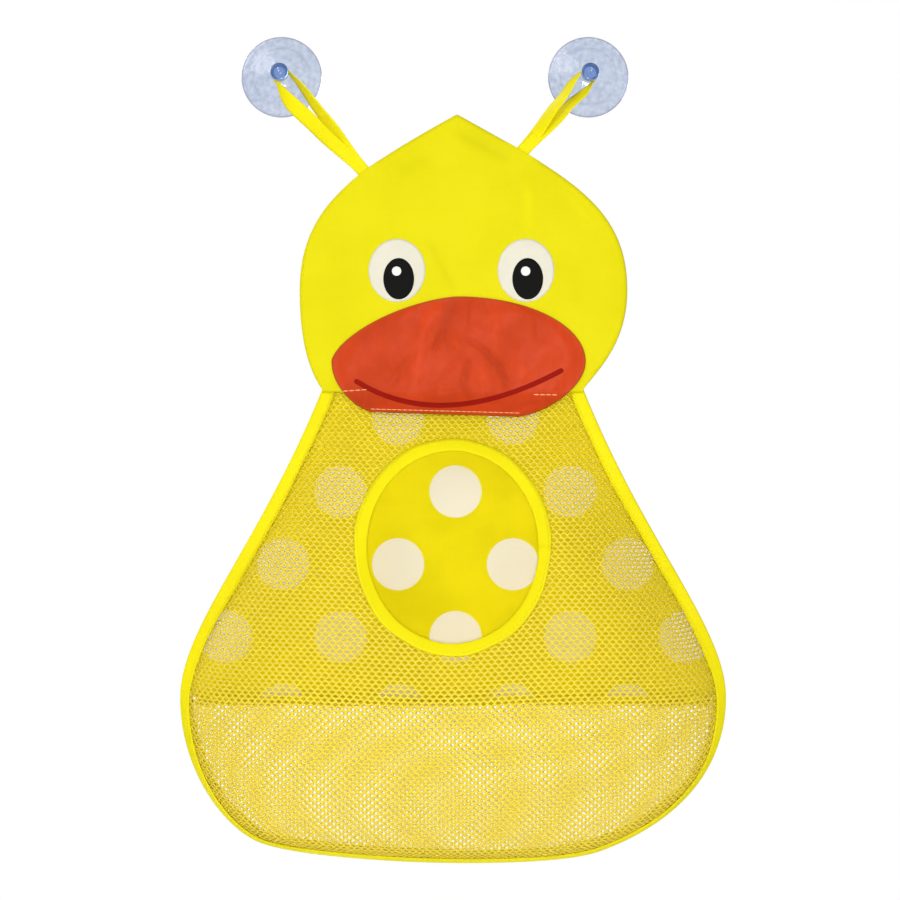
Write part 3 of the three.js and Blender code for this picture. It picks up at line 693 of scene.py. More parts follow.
SOCKETS = {
    "float": "NodeSocketFloat",
    "integer": "NodeSocketInt",
    "vector": "NodeSocketVector",
    "colour": "NodeSocketColor",
    "geometry": "NodeSocketGeometry",
    "object": "NodeSocketObject",
    "material": "NodeSocketMaterial",
}


def new_tree(name, kind, inputs, outputs):
    """An empty node group with named sockets, and its input and output nodes."""
    tree = bpy.data.node_groups.new(name, kind)
    for label, sort in inputs:
        tree.interface.new_socket(label, in_out="INPUT", socket_type=SOCKETS[sort])
    for label, sort in outputs:
        tree.interface.new_socket(label, in_out="OUTPUT", socket_type=SOCKETS[sort])
    return tree, tree.nodes.new("NodeGroupInput").outputs, tree.nodes.new("NodeGroupOutput").inputs


def grow(piece, tree, **values):
    """Runs a geometry tree on a piece with the given inputs, and keeps the result as its plain mesh."""
    modifier = piece.modifiers.new(tree.name, "NODES")
    modifier.node_group = tree
    for item in tree.interface.items_tree:
        key = item.name.lower().replace(" ", "_")
        if item.in_out == "INPUT" and key in values:
            modifier[item.identifier] = values[key]
    return settle(piece)


# Shader groups

def woven_group():
    """Plain weave: over and under of fine threads, with a few thicker ones."""
    tree, given, made = new_tree(
        "woven_threads", "ShaderNodeTree",
        [("Place", "vector"), ("Threads", "float")],
        [("Height", "float"), ("Shade", "float")],
    )
    threads = scaled(tree, given["Place"], given["Threads"])
    parts = node(tree, "ShaderNodeSeparateXYZ", {0: threads}).outputs
    across, along = (maths(tree, "SINE", maths(tree, "MULTIPLY", parts[axis], math.pi)) for axis in "XY")
    crossing = maths(tree, "MULTIPLY", across, along)
    tree.links.new(maths(tree, "MULTIPLY_ADD", crossing, 0.5, 0.5), made["Height"])
    slubs = []
    for stretch in ((SLUBS_ACROSS, SLUBS_ALONG, 1.0), (SLUBS_ALONG, SLUBS_ACROSS, 1.0)):
        drawn = node(tree, "ShaderNodeVectorMath", {0: given["Place"], 1: stretch}, operation="MULTIPLY")
        slubs.append(noise(tree, drawn.outputs[0], scale=1.0, detail=2.0))
    tree.links.new(maths(tree, "MULTIPLY", maths(tree, "ADD", *slubs), 0.5), made["Shade"])
    return tree


def mottle_group():
    """Slow uneven tone, as dye and handling leave on cloth."""
    tree, given, made = new_tree(
        "cloth_mottle", "ShaderNodeTree",
        [
            ("Place", "vector"), ("Colour", "colour"), ("Deep Colour", "colour"),
            ("Amount", "float"), ("Scale", "float"),
        ],
        [("Colour", "colour"), ("Tone", "float")],
    )
    broad = noise(tree, given["Place"], given["Scale"], detail=4.0)
    tone = ramp(tree, broad, low=0.32, high=0.72, soft=True)
    share = maths(tree, "MULTIPLY", tone, given["Amount"])
    tree.links.new(mix_colours(tree, share, given["Colour"], given["Deep Colour"]), made["Colour"])
    tree.links.new(tone, made["Tone"])
    return tree


def dots_group():
    """Round dots in staggered rows."""
    tree, given, made = new_tree(
        "staggered_dots", "ShaderNodeTree",
        [
            ("Place", "vector"), ("Across", "float"), ("Down", "float"),
            ("Radius", "float"), ("Softness", "float"),
        ],
        [("Mask", "float")],
    )
    parts = node(tree, "ShaderNodeSeparateXYZ", {0: given["Place"]}).outputs
    halves = [maths(tree, "MULTIPLY", given[label], 0.5) for label in ("Across", "Down")]
    gaps = []
    for shifted in (0.0, 1.0):
        from_dot = []
        for half, axis in zip(halves, "XZ"):
            moved = maths(tree, "MULTIPLY_ADD", half, shifted, parts[axis])
            from_dot.append(maths(tree, "WRAP", moved, half, maths(tree, "MULTIPLY", half, -1.0)))
        gaps.append(distance_of(tree, *from_dot))
    gap = maths(tree, "MINIMUM", *gaps)
    inside, outside = (
        maths(tree, way, given["Radius"], given["Softness"]) for way in ("SUBTRACT", "ADD")
    )
    tree.links.new(ramp(tree, gap, inside, outside, start=1.0, end=0.0, soft=True), made["Mask"])
    return tree


WOVEN = woven_group()
MOTTLE = mottle_group()
DOTS = dots_group()


# Materials

def new_material(name, roughness, specular=0.35):
    """A material, its node tree and its surface shader."""
    material = bpy.data.materials.new(name)
    material.use_nodes = True
    surface = material.node_tree.nodes["Principled BSDF"]
    surface.inputs["Roughness"].default_value = roughness
    surface.inputs["Specular IOR Level"].default_value = specular
    return material, material.node_tree, surface


def titled(values):
    """Values under the labels of their sockets."""
    return {name.replace("_", " ").title(): value for name, value in values.items()}


def group_node(tree, group, **inputs):
    """Places a shader group in a material."""
    return node(tree, "ShaderNodeGroup", titled(inputs), node_tree=group)


def feed(tree, surface, **sockets):
    """Links sockets to the surface shader."""
    for label, socket in titled(sockets).items():
        tree.links.new(socket, surface.inputs[label])


def darker(colour, share):
    """A colour with a share of its brightness."""
    return tuple(channel * share for channel in colour[:3]) + (1,)


def object_place(tree):
    """Places in the part's frame, in metres."""
    return node(tree, "ShaderNodeTexCoord").outputs["Object"]


def flat_place(tree):
    """Places on the piece's flat cloth, in metres."""
    return node(tree, "ShaderNodeUVMap", uv_map="cloth").outputs[0]


def painted_fold_shading(tree):
    """Painted shade and light by the height of the folds that the cloth's points hold: darker in valleys,
    lighter on ridges, 1 where flat.
    """
    height = node(tree, "ShaderNodeAttribute", attribute_name="crease").outputs["Fac"]
    return ramp(tree, height, -CREASE_HEIGHT, CREASE_HEIGHT, FOLD_PAINTED_SHADE, FOLD_PAINTED_LIGHT)


def let_light_through(tree, surface, colour, share):
    """Lets a thin cloth or thread pass a share of the light that falls on its other side."""
    glow = node(tree, "ShaderNodeBsdfTranslucent", {"Color": colour}).outputs[0]
    both = node(tree, "ShaderNodeMixShader", {0: share, 1: surface.outputs[0], 2: glow}).outputs[0]
    tree.links.new(both, tree.nodes["Material Output"].inputs["Surface"])


def cloth_material(name, colour, roughness=0.62, threads=CLOTH_THREADS, relief=0.10, deep=0.90):
    """Woven cloth, coloured unevenly, with painted shade in its fold valleys and painted light on its fold
    ridges, and with the relief of its threads. It reads the piece's flat cloth map."""
    material, tree, surface = new_material(name, roughness, specular=0.06)
    surface.inputs["Sheen Weight"].default_value = 0.12
    surface.inputs["Sheen Roughness"].default_value = 0.45
    surface.inputs["Sheen Tint"].default_value = colour
    weave = group_node(tree, WOVEN, place=flat_place(tree), threads=threads)
    mottle = group_node(
        tree, MOTTLE, place=object_place(tree), colour=colour, deep_colour=darker(colour, deep),
        amount=0.8, scale=26.0,
    )
    slub = ramp(tree, weave.outputs["Shade"], low=0.3, high=0.7, start=0.985, end=1.012)
    # The slubs of the threads, times painted shade and light along the folds
    tone = maths(tree, "MULTIPLY", slub, painted_fold_shading(tree))
    shaded = mix_colours(tree, 1.0, mottle.outputs["Colour"], tone, "MULTIPLY")
    rough = ramp(tree, mottle.outputs["Tone"], start=roughness - 0.06, end=roughness + 0.06)
    threaded = bump(tree, weave.outputs["Height"], relief, strength=0.6)
    feed(tree, surface, base_color=shaded, roughness=rough, normal=threaded)
    return material, tree, surface, shaded


def dotted_material():
    """The back's thin cloth, printed with cream dots."""
    material, tree, surface, shaded = cloth_material("dotted_cloth", YELLOW_BACK, deep=0.88)
    place = object_place(tree)
    shifted = node(tree, "ShaderNodeMapping", {"Vector": place, "Location": DOT_SHIFT}).outputs[0]
    dots = group_node(
        tree, DOTS, place=shifted, across=DOT_ACROSS, down=DOT_DOWN, radius=DOT_RADIUS, softness=DOT_SOFTNESS
    )
    worn = noise(tree, place, scale=900.0, detail=2.0)
    ink = ramp(tree, worn, low=0.3, high=0.55, start=0.90, end=1.0)
    mask = maths(tree, "MULTIPLY", dots.outputs["Mask"], ink)
    printed = mix_colours(tree, mask, shaded, CREAM_DOT)
    feed(tree, surface, base_color=printed)
    let_light_through(tree, surface, printed, BACK_TRANSLUCENCY)
    return material


def beak_material():
    """Coated cloth with a semi-gloss face, painted shade and light along its folds and fine crinkles, and a
    darker printed edge.
    """
    material, tree, surface = new_material("beak_cloth", roughness=0.40, specular=0.07)
    place = object_place(tree)
    mottle = group_node(
        tree, MOTTLE, place=place, colour=ORANGE_BEAK, deep_colour=darker(ORANGE_BEAK, 0.84),
        amount=0.85, scale=34.0,
    )
    edge = node(tree, "ShaderNodeAttribute", attribute_name="edge").outputs["Fac"]
    rim = ramp(tree, edge, *BEAK_EDGE_BAND, start=1.0, end=0.0)
    upright = node(tree, "ShaderNodeMapping", {"Vector": place, "Scale": (1.0, 1.0, 0.4)}).outputs[0]
    # Painted shade and light of fine crinkles, from a noise stretched upwards
    crinkled = noise(tree, upright, scale=170.0, detail=4.0, distortion=1.2)
    painted_crinkle_shade = ramp(tree, crinkled, low=0.3, high=0.7, start=0.95, end=1.05)
    tone = maths(tree, "MULTIPLY", painted_fold_shading(tree), painted_crinkle_shade)
    # The beak's colour with painted shade and light of its folds and crinkles
    fold_shade_painted = mix_colours(tree, 1.0, mottle.outputs["Colour"], tone, "MULTIPLY")
    printed = mix_colours(tree, rim, fold_shade_painted, ORANGE_EDGE)
    rough = ramp(tree, mottle.outputs["Tone"], start=0.42, end=0.58)
    weave = group_node(tree, WOVEN, place=flat_place(tree), threads=BEAK_THREADS)
    threaded = bump(tree, weave.outputs["Height"], relief=0.05, strength=0.5)
    rumpled = noise(tree, place, scale=120.0, detail=5.0, distortion=0.8)
    uneven = bump(tree, rumpled, relief=0.5, strength=0.35, under=threaded)
    feed(tree, surface, base_color=printed, roughness=rough, normal=uneven)
    return material


def print_material(name, colour, roughness, specular=0.04):
    """Ink on cloth: an even colour through which the threads still show."""
    material, tree, surface = new_material(name, roughness, specular)
    mottle = group_node(
        tree, MOTTLE, place=object_place(tree), colour=colour, deep_colour=darker(colour, 0.93),
        amount=0.8, scale=60.0,
    )
    weave = group_node(tree, WOVEN, place=flat_place(tree), threads=CLOTH_THREADS)
    threaded = bump(tree, weave.outputs["Height"], relief=0.07, strength=0.5)
    feed(tree, surface, base_color=mottle.outputs["Colour"], normal=threaded)
    return material


def thread_material(name, colour, roughness=0.6, specular=0.35, relief=0.08):
    """Twisted thread: fine slanting strands."""
    material, tree, surface = new_material(name, roughness, specular)
    strands = node(
        tree, "ShaderNodeTexWave",
        {"Vector": object_place(tree), "Scale": 900.0, "Distortion": 1.5, "Detail": 1.0},
        bands_direction="DIAGONAL",
    ).outputs["Fac"]
    shade = mix_colours(tree, strands, darker(colour, 0.88), colour)
    feed(tree, surface, base_color=shade, normal=bump(tree, strands, relief, strength=0.6))
    return material, tree, surface


def net_material():
    """Net thread, which lets part of the light through."""
    material, tree, surface = thread_material(
        "net_thread", PALE_NET, roughness=0.65, specular=0.06, relief=0.02
    )
    let_light_through(tree, surface, NET_GLOW, NET_TRANSLUCENCY)
    return material


def vinyl_material(name, colour, deep_colour, clearness):
    """Clear soft vinyl, slightly hazed and marked by handling, with a darker line along the rim of the cup
    and one where its hollow meets the wall."""
    material, tree, surface = new_material(name, roughness=0.10, specular=0.5)
    surface.inputs["IOR"].default_value = VINYL_IOR
    surface.inputs["Transmission Weight"].default_value = clearness
    place = object_place(tree)
    mottle = group_node(
        tree, MOTTLE, place=place, colour=colour, deep_colour=deep_colour, amount=0.8, scale=330.0
    )
    parts = node(tree, "ShaderNodeSeparateXYZ", {0: place}).outputs
    aside = maths(tree, "SUBTRACT", maths(tree, "ABSOLUTE", parts["X"]), CUP_REACH * MM)
    radius = distance_of(tree, aside, parts["Z"])
    rim = ramp(tree, radius, *VINYL_RIM_BAND)
    from_ring = maths(tree, "ABSOLUTE", maths(tree, "SUBTRACT", radius, HOLLOW_RING))
    ring = ramp(tree, from_ring, *HOLLOW_RING_BAND, start=0.25, end=0.0)
    lined = mix_colours(tree, maths(tree, "MAXIMUM", rim, ring), mottle.outputs["Colour"], VINYL_LINE)
    haze = ramp(tree, mottle.outputs["Tone"], start=0.05, end=0.20)
    uneven = bump(tree, noise(tree, place, scale=210.0, detail=4.0), relief=0.5, strength=0.6)
    feed(tree, surface, base_color=lined, roughness=haze, normal=uneven)
    return material


def floor_material():
    """An even pale floor."""
    material, _, surface = new_material("pale_floor", roughness=0.6)
    surface.inputs["Base Color"].default_value = PALE_FLOOR
    return material


HEAD_CLOTH = cloth_material("head_cloth", YELLOW_HEAD, deep=0.94)[0]
BACK_CLOTH = dotted_material()
TAPE = cloth_material(
    "binding_tape", YELLOW_TAPE, roughness=0.55, threads=TAPE_THREADS, relief=0.18, deep=0.93
)[0]
NET = net_material()
BEAK_CLOTH = beak_material()
EYE_PRINT = print_material("eye_print", CREAM_EYE, roughness=0.5)
PUPIL_PRINT = print_material("pupil_print", BLACK_PUPIL, roughness=0.5, specular=0.03)
GLINT_PRINT = print_material("glint_print", WHITE_GLINT, roughness=0.5)
LINE_PRINT = print_material("mouth_line_print", RED_LINE, roughness=0.7)
TAPE_THREAD = thread_material("tape_thread", YELLOW_TAPE)[0]
PALE_THREAD = thread_material("pale_thread", PEACH_THREAD)[0]
CLEAR_VINYL = vinyl_material("clear_vinyl", VINYL, VINYL_DEEP, CUP_CLEARNESS)
KNOB_VINYL = vinyl_material("knob_vinyl", VINYL_KNOB, VINYL_KNOB_DEEP, KNOB_CLEARNESS)


# Geometry trees

def geometry(tree, kind, inputs, **settings):
    """Adds a geometry node and gives its first output."""
    return node(tree, "GeometryNode" + kind, inputs, **settings).outputs[0]


def store(tree, shape, name, kind, value, selection=None):
    """Keeps a value on the points of a shape under a name."""
    inputs = {"Geometry": shape, "Name": name, "Value": value}
    if selection is not None:
        inputs["Selection"] = selection
    return geometry(tree, "StoreNamedAttribute", inputs, data_type=kind, domain="POINT")


def fetch(tree, name, kind):
    """A value that store has kept."""
    return geometry(tree, "InputNamedAttribute", {"Name": name}, data_type=kind)


def finish_tree(tree, made, shape, material):
    """Makes a tree's result one smooth mesh with its material, and sends it out."""
    shape = geometry(tree, "SetShadeSmooth", {"Geometry": shape})
    shape = geometry(tree, "RealizeInstances", {0: shape})
    tree.links.new(geometry(tree, "SetMaterial", {"Geometry": shape, "Material": material}), made[0])


def net_cells(tree, given, place):
    """The net's six-sided meshes in the flat, in staggered rows that share their corners."""
    columns, rows = given["Columns"], given["Rows"]
    field = geometry(tree, "MeshGrid", {
        "Size X": maths(tree, "MULTIPLY", maths(tree, "SUBTRACT", columns, 1.0), given["Pitch"]),
        "Size Y": maths(tree, "MULTIPLY", maths(tree, "SUBTRACT", rows, 1.0), given["Row"]),
        "Vertices X": columns,
        "Vertices Y": rows,
    })
    spot = node(tree, "ShaderNodeSeparateXYZ", {0: place}).outputs
    row_number = maths(tree, "ROUND", maths(tree, "DIVIDE", spot["Y"], given["Row"]))
    odd = maths(tree, "MODULO", maths(tree, "ABSOLUTE", row_number), 2.0)
    shift = maths(tree, "MULTIPLY", odd, maths(tree, "MULTIPLY", given["Pitch"], 0.5))
    sideways = node(tree, "ShaderNodeCombineXYZ", {"X": shift}).outputs[0]
    staggered = geometry(tree, "SetPosition", {"Geometry": field, "Offset": sideways})

    hexagon = geometry(tree, "MeshCircle", {"Vertices": 6, "Radius": 1.0}, fill_type="NGON")
    half_upright = maths(tree, "MULTIPLY", given["Upright"], 0.5)
    tip_rise = maths(tree, "SUBTRACT", given["Row"], given["Upright"])
    # The hexagon's two tips lie at 1 from its middle, its other corners at 0.5.
    is_tip = maths(tree, "GREATER_THAN", maths(tree, "ABSOLUTE", spot["X"]), 0.75)
    height = maths(tree, "MULTIPLY_ADD", is_tip, tip_rise, half_upright)
    upward = maths(tree, "MULTIPLY", height, maths(tree, "SIGN", spot["X"]))
    half_pitch = maths(tree, "MULTIPLY", given["Pitch"], -0.5)
    aside = maths(tree, "MULTIPLY", maths(tree, "SIGN", spot["Y"]), half_pitch)
    aside = maths(tree, "MULTIPLY", aside, maths(tree, "SUBTRACT", 1.0, is_tip))
    corner = node(tree, "ShaderNodeCombineXYZ", {"X": aside, "Y": upward}).outputs[0]
    mesh_cell = geometry(tree, "SetPosition", {"Geometry": hexagon, "Position": corner})
    cells = geometry(tree, "InstanceOnPoints", {"Points": staggered, "Instance": mesh_cell})
    cells = geometry(tree, "RealizeInstances", {0: cells})
    return geometry(tree, "MergeByDistance", {"Geometry": cells, "Distance": CELL_WELD})


def net_strands(tree, given, cells):
    """The strands left between the meshes when each is opened to a wide hole. Their middles hold the rise."""
    each_face = {"Mesh": cells, "Offset Scale": 0.0, "Individual": True}
    opened = node(tree, "GeometryNodeExtrudeMesh", each_face, mode="FACES").outputs
    hole = opened["Top"]
    ridged = store(tree, opened["Mesh"], "ridge", "FLOAT", given["Rise"])
    ridged = store(tree, ridged, "ridge", "FLOAT", 0.0, selection=hole)
    narrowing = {"Geometry": ridged, "Selection": hole, "Scale": given["Opening"]}
    narrowed = geometry(tree, "ScaleElements", narrowing, domain="FACE")
    flattening = {"Geometry": narrowed, "Selection": hole, "Scale": given["Flatness"], "Axis": (0, 1, 0)}
    flattened = geometry(tree, "ScaleElements", flattening, domain="FACE", scale_mode="SINGLE_AXIS")
    holes = {"Geometry": flattened, "Selection": hole}
    return geometry(tree, "DeleteGeometry", holes, domain="FACE", mode="ALL")


def laid_net(tree, given, strands, place):
    """The strands moved to the surface by its flat cloth map, without what lies beside it."""
    surface = node(tree, "GeometryNodeObjectInfo", {"Object": given["Surface"]}).outputs["Geometry"]
    cloth_map = fetch(tree, "cloth", "FLOAT_VECTOR")
    normal = node(tree, "GeometryNodeInputNormal").outputs[0]
    spot, facing = (
        node(
            tree, "GeometryNodeSampleUVSurface", {0: surface, 1: value, 2: cloth_map, 3: place},
            data_type="FLOAT_VECTOR",
        ).outputs
        for value in (place, normal)
    )
    strands = store(tree, strands, "facing", "FLOAT_VECTOR", facing[0])
    strands = store(tree, strands, "spot", "FLOAT_VECTOR", spot[0])
    beside = node(tree, "FunctionNodeBooleanMath", {0: spot["Is Valid"]}, operation="NOT").outputs[0]
    kept = geometry(tree, "DeleteGeometry", {"Geometry": strands, "Selection": beside}, domain="POINT")
    return geometry(tree, "SetPosition", {"Geometry": kept, "Position": fetch(tree, "spot", "FLOAT_VECTOR")})


def closed_border(tree, given, laid, ridge):
    """The laid net with strands that were cut off brought down to a thin edge, so that both faces close."""
    thin = maths(tree, "MULTIPLY", given["Rise"], NET_THIN_SHARE)
    neighbours = node(tree, "GeometryNodeInputMeshEdgeNeighbors").outputs[0]
    lone, solid, flap = (
        node(tree, "FunctionNodeCompare", inputs, data_type=kind, operation=way).outputs[0]
        for inputs, kind, way in (
            ({2: neighbours, 3: 1}, "INT", "EQUAL"),
            ({0: ridge, 1: thin}, "FLOAT", "GREATER_THAN"),
            ({0: ridge, 1: thin}, "FLOAT", "LESS_THAN"),
        )
    )
    cut_edge = node(tree, "FunctionNodeBooleanMath", {0: lone, 1: solid}, operation="AND").outputs[0]
    on_edges = geometry(tree, "FieldOnDomain", {0: cut_edge}, data_type="BOOLEAN", domain="EDGE")
    kept = store(tree, laid, "border", "BOOLEAN", on_edges)
    kept = store(tree, kept, "ridge", "FLOAT", 0.0, selection=fetch(tree, "border", "BOOLEAN"))
    return geometry(tree, "DeleteGeometry", {"Geometry": kept, "Selection": flap}, domain="FACE")


def net_tree():
    """Knitted net on a surface: a field of six-sided meshes, each opened to a wide hole, laid on the
    surface by its flat cloth map, with the strands between the holes rounded to the front and the back."""
    tree, given, made = new_tree(
        "knitted_net", "GeometryNodeTree",
        [
            ("Surface", "object"), ("Columns", "integer"), ("Rows", "integer"), ("Pitch", "float"),
            ("Row", "float"), ("Upright", "float"), ("Opening", "float"), ("Flatness", "float"),
            ("Rise", "float"), ("Material", "material"),
        ],
        [("Geometry", "geometry")],
    )
    place = node(tree, "GeometryNodeInputPosition").outputs[0]
    strands = net_strands(tree, given, net_cells(tree, given, place))
    ridge = fetch(tree, "ridge", "FLOAT")
    middle = closed_border(tree, given, laid_net(tree, given, strands, place), ridge)
    both = node(tree, "GeometryNodeJoinGeometry")
    for way in (1.0, -1.0):
        lift = scaled(tree, fetch(tree, "facing", "FLOAT_VECTOR"), maths(tree, "MULTIPLY", ridge, way))
        face = geometry(tree, "SetPosition", {"Geometry": middle, "Offset": lift})
        if way < 0:
            face = geometry(tree, "FlipFaces", {0: face})
        tree.links.new(face, both.inputs[0])
    whole = geometry(tree, "MergeByDistance", {"Geometry": both.outputs[0], "Distance": NET_WELD})
    finish_tree(tree, made, whole, given["Material"])
    return tree


def stitch_tree():
    """Stitches at even steps along a row of edges."""
    tree, given, made = new_tree(
        "thread_stitches", "GeometryNodeTree",
        [
            ("Geometry", "geometry"), ("Step", "float"), ("Length", "float"), ("Thread", "float"),
            ("Material", "material"),
        ],
        [("Geometry", "geometry")],
    )
    line = geometry(tree, "MeshToCurve", {0: given["Geometry"]})
    steps = {"Curve": line, "Length": given["Step"]}
    spots = node(tree, "GeometryNodeCurveToPoints", steps, mode="LENGTH").outputs
    bead = geometry(tree, "MeshUVSphere", {"Segments": 6, "Rings": 4, "Radius": 1.0})
    half_thread, half_length = (maths(tree, "MULTIPLY", given[label], 0.5) for label in ("Thread", "Length"))
    halves = {"X": half_thread, "Y": half_thread, "Z": half_length}
    size = node(tree, "ShaderNodeCombineXYZ", halves).outputs[0]
    sewn = geometry(tree, "InstanceOnPoints", {
        "Points": spots["Points"], "Instance": bead, "Rotation": spots["Rotation"], "Scale": size,
    })
    finish_tree(tree, made, sewn, given["Material"])
    return tree


NET_TREE = net_tree()
STITCH_TREE = stitch_tree()


def stitches(name, paths, material, stitch):
    """Sewn stitches along rows of points in millimetres. stitch is their step, length and thickness."""
    points, edges = [], []
    for path in paths:
        first = len(points)
        points.extend(path.tolist())
        edges.extend((first + k, first + k + 1) for k in range(len(path) - 1))
    mesh = bpy.data.meshes.new(name)
    mesh.from_pydata((np.array(points) * MM).tolist(), edges, [])
    step, length, thread = (size * MM for size in stitch)
    piece = add_object(name, mesh)
    return grow(piece, STITCH_TREE, step=step, length=length, thread=thread, material=material)


# Net surface

def ray_reach(line, headings):
    """How far rays from the middle of the mouth run before they leave a closed line."""
    starts = line - MOUTH_CENTRE
    steps = np.roll(starts, -1, axis=0) - starts
    reach = np.zeros(len(headings))
    for start, step in zip(starts, steps):
        turn = headings[:, 0] * step[1] - headings[:, 1] * step[0]
        turn = np.where(np.abs(turn) < TINY, TINY, turn)
        along = (start[0] * step[1] - start[1] * step[0]) / turn
        share = (start[0] * headings[:, 1] - start[1] * headings[:, 0]) / turn
        hit = (share >= -EDGE_SLACK) & (share <= 1 + EDGE_SLACK) & (along > 0)
        reach = np.where(hit, np.maximum(reach, along), reach)
    return reach


def net_line(distance):
    """The net's edge a given distance inside the body's outline, closed by a level line above the neck."""
    edge = evenly(BODY_LINE, 400)
    inner = edge + inward(edge) * distance
    top = NECK_LEVEL + NET_TUCK - distance
    inner = inner[inner[:, 1] < min(top, NECK_LEVEL)]
    lean = math.tan(FLANK_ANGLE)
    ends = [inner[-1], inner[0]]
    rises = [max(top - end[1], 0) for end in ends]
    tops = [
        np.array([ends[0][0] + rises[0] * lean, top]),
        np.array([ends[1][0] - rises[1] * lean, top]),
    ]
    return np.vstack([inner, tops])


SEAM_LINE = net_line(NET_SEAM_INSET)
LIP_LINE = net_line(TAPE_WIDTH + NET_LIP_GAP)


def tape_tilt(levels):
    """How far the binding's front arm opens, by level: flat on the flanks, open under the belly."""
    return TAPE_TILT * smooth(-np.asarray(levels, float), *TILT_DROPS)


def net_rays(headings):
    """Reach of the rim, the lip and the seam along each ray, and the lip's depth."""
    rim = 1 / np.hypot(headings[:, 0] / MOUTH_HALF[0], headings[:, 1] / MOUTH_HALF[1])
    seam = ray_reach(SEAM_LINE, headings)
    flat_lip = ray_reach(LIP_LINE, headings)
    tilt = tape_tilt(MOUTH_CENTRE[1] + headings[:, 1] * seam)
    lip = seam - (seam - flat_lip) * np.cos(tilt)
    lip_depth = NET_EDGE_DEPTH + TAPE_WIDTH * np.sin(tilt)
    return rim, lip, seam, lip_depth


def net_curve(headings, rim, lip_depth, share):
    """Depth of the net a share of the way from the rim of the mouth to the binding."""
    fall = np.clip(0.5 - headings[:, 1] * rim / (2 * MOUTH_HALF[1]), 0, 1)
    rim_depth = mix(MOUTH_TOP_DEPTH, MOUTH_BOTTOM_DEPTH, fall)
    full = smooth(fall, 0, 1)
    curve = (1 - share ** (1 + BELLY_ROUNDING * full)) ** (1 - BELLY_STEEPENING * full)
    swell = BELLY_SWELL * full * np.sin(math.pi * share**SWELL_LEAN)
    return lip_depth + (rim_depth - lip_depth) * curve + swell


def net_depth(places):
    """Depth of the net's middle at places between the mouth and the binding."""
    gaps = places - MOUTH_CENTRE
    distance = np.linalg.norm(gaps, axis=1)
    headings = gaps / distance[:, None]
    rim, lip, _, lip_depth = net_rays(headings)
    share = np.clip((distance - rim) / (lip - rim), 0, 1)
    return net_curve(headings, rim, lip_depth, share)


def net_surface(rays=240, rings=34, tucked=4):
    """The net's middle surface as rows of points, one for each ray, with their places on the flat cloth."""
    _, headings = circle(rays)
    rim, lip, seam, lip_depth = net_rays(headings)
    distances, depths = [], []
    for share in np.linspace(0, 1, rings):
        distances.append(mix(rim, lip, share))
        depths.append(net_curve(headings, rim, lip_depth, np.full(rays, share)))
    for share in np.linspace(0, 1, tucked + 1)[1:]:
        distances.append(mix(lip, seam, share))
        depths.append(mix(lip_depth, NET_EDGE_DEPTH, share))
    distances, depths = np.stack(distances, axis=1), np.stack(depths, axis=1)
    steps = np.hypot(np.diff(distances, axis=1), np.diff(depths, axis=1))
    lengths = np.concatenate([distances[:, :1], distances[:, :1] + np.cumsum(steps, axis=1)], axis=1)
    spread = mix(distances, lengths, NET_EVENNESS)
    places = MOUTH_CENTRE + headings[:, None, :] * distances[..., None]
    flat = headings[:, None, :] * spread[..., None]
    drift = np.stack([
        size * np.sin(flat[..., other] / length + start)
        for other, (size, length, start) in zip((1, 0), NET_DRIFT)
    ], axis=2)
    points = np.stack([places[..., 0], -depths, places[..., 1]], axis=2)
    return points, flat + drift


def knit(name, points, faces, flat):
    """Knits the net over a surface of points."""
    form = new_piece(name + "_form", points, faces, NET, flat)
    reach = np.max(np.abs(flat), axis=0)
    columns, rows = (2 * math.ceil(span / step) + 5 for span, step in zip(reach, (NET_PITCH, NET_ROW)))
    net = new_piece(name, [(0, 0, 0)], [], NET)
    grow(
        net, NET_TREE, surface=form, columns=columns, rows=rows, pitch=NET_PITCH * MM, row=NET_ROW * MM,
        upright=NET_UPRIGHT * MM, opening=NET_OPENING, flatness=NET_FLATNESS, rise=NET_RISE * MM,
        material=NET,
    )
    bpy.data.objects.remove(form)
    return net


def enclosed(line):
    """Area inside a closed row of points."""
    following = np.roll(line, -1, axis=0)
    return abs(np.sum(line[:, 0] * following[:, 1] - line[:, 1] * following[:, 0])) / 2


def make_front_net():
    """The bulged net of the front and the area of its flat cloth."""
    points, flat = net_surface()
    rays, rings = points.shape[:2]
    faces = grid_faces(rays, rings, round_rows=True)
    net = knit("front_net_mesh", points.reshape(-1, 3), faces, flat.reshape(-1, 2))
    return net, (enclosed(flat[:, -1]) - enclosed(flat[:, 0])) * MM**2


def lower_rows(count, distance):
    """Levels and side edges of the back below the belly, a given distance inside the outline."""
    edge = evenly(BODY_LINE, count=600)
    inner = edge + inward(edge) * distance
    lowest = np.argmin(inner[:, 1])
    right, left = inner[: lowest + 1], inner[lowest:][::-1]
    shares = np.sin(np.linspace(0, math.pi / 2, count))
    levels = mix(BELLY_LEVEL - SEAM_GAP, inner[lowest, 1] + SEAM_GAP, shares)
    return levels, edge_at(levels, left), edge_at(levels, right)


def make_drain_net(rows=40, columns=60):
    """The flat net below the cloth back, cut with its rows upright."""
    levels, left, right = lower_rows(rows, REAR_NET_INSET)
    places = rows_between(levels, left, right, np.linspace(0, 1, columns)).reshape(-1, 2)
    wave, length = REAR_NET_WAVE
    depth = BACK_DEPTH - REAR_NET_SINK + wave * ripple(places[:, 0], places[:, 1], length)
    flat = places - (places.min(axis=0) + places.max(axis=0)) / 2
    turned = np.stack([-flat[:, 1], flat[:, 0]], axis=1)
    return knit("rear_net_mesh", in_front(places, depth), grid_faces(rows, columns), turned)


# Cloth panels

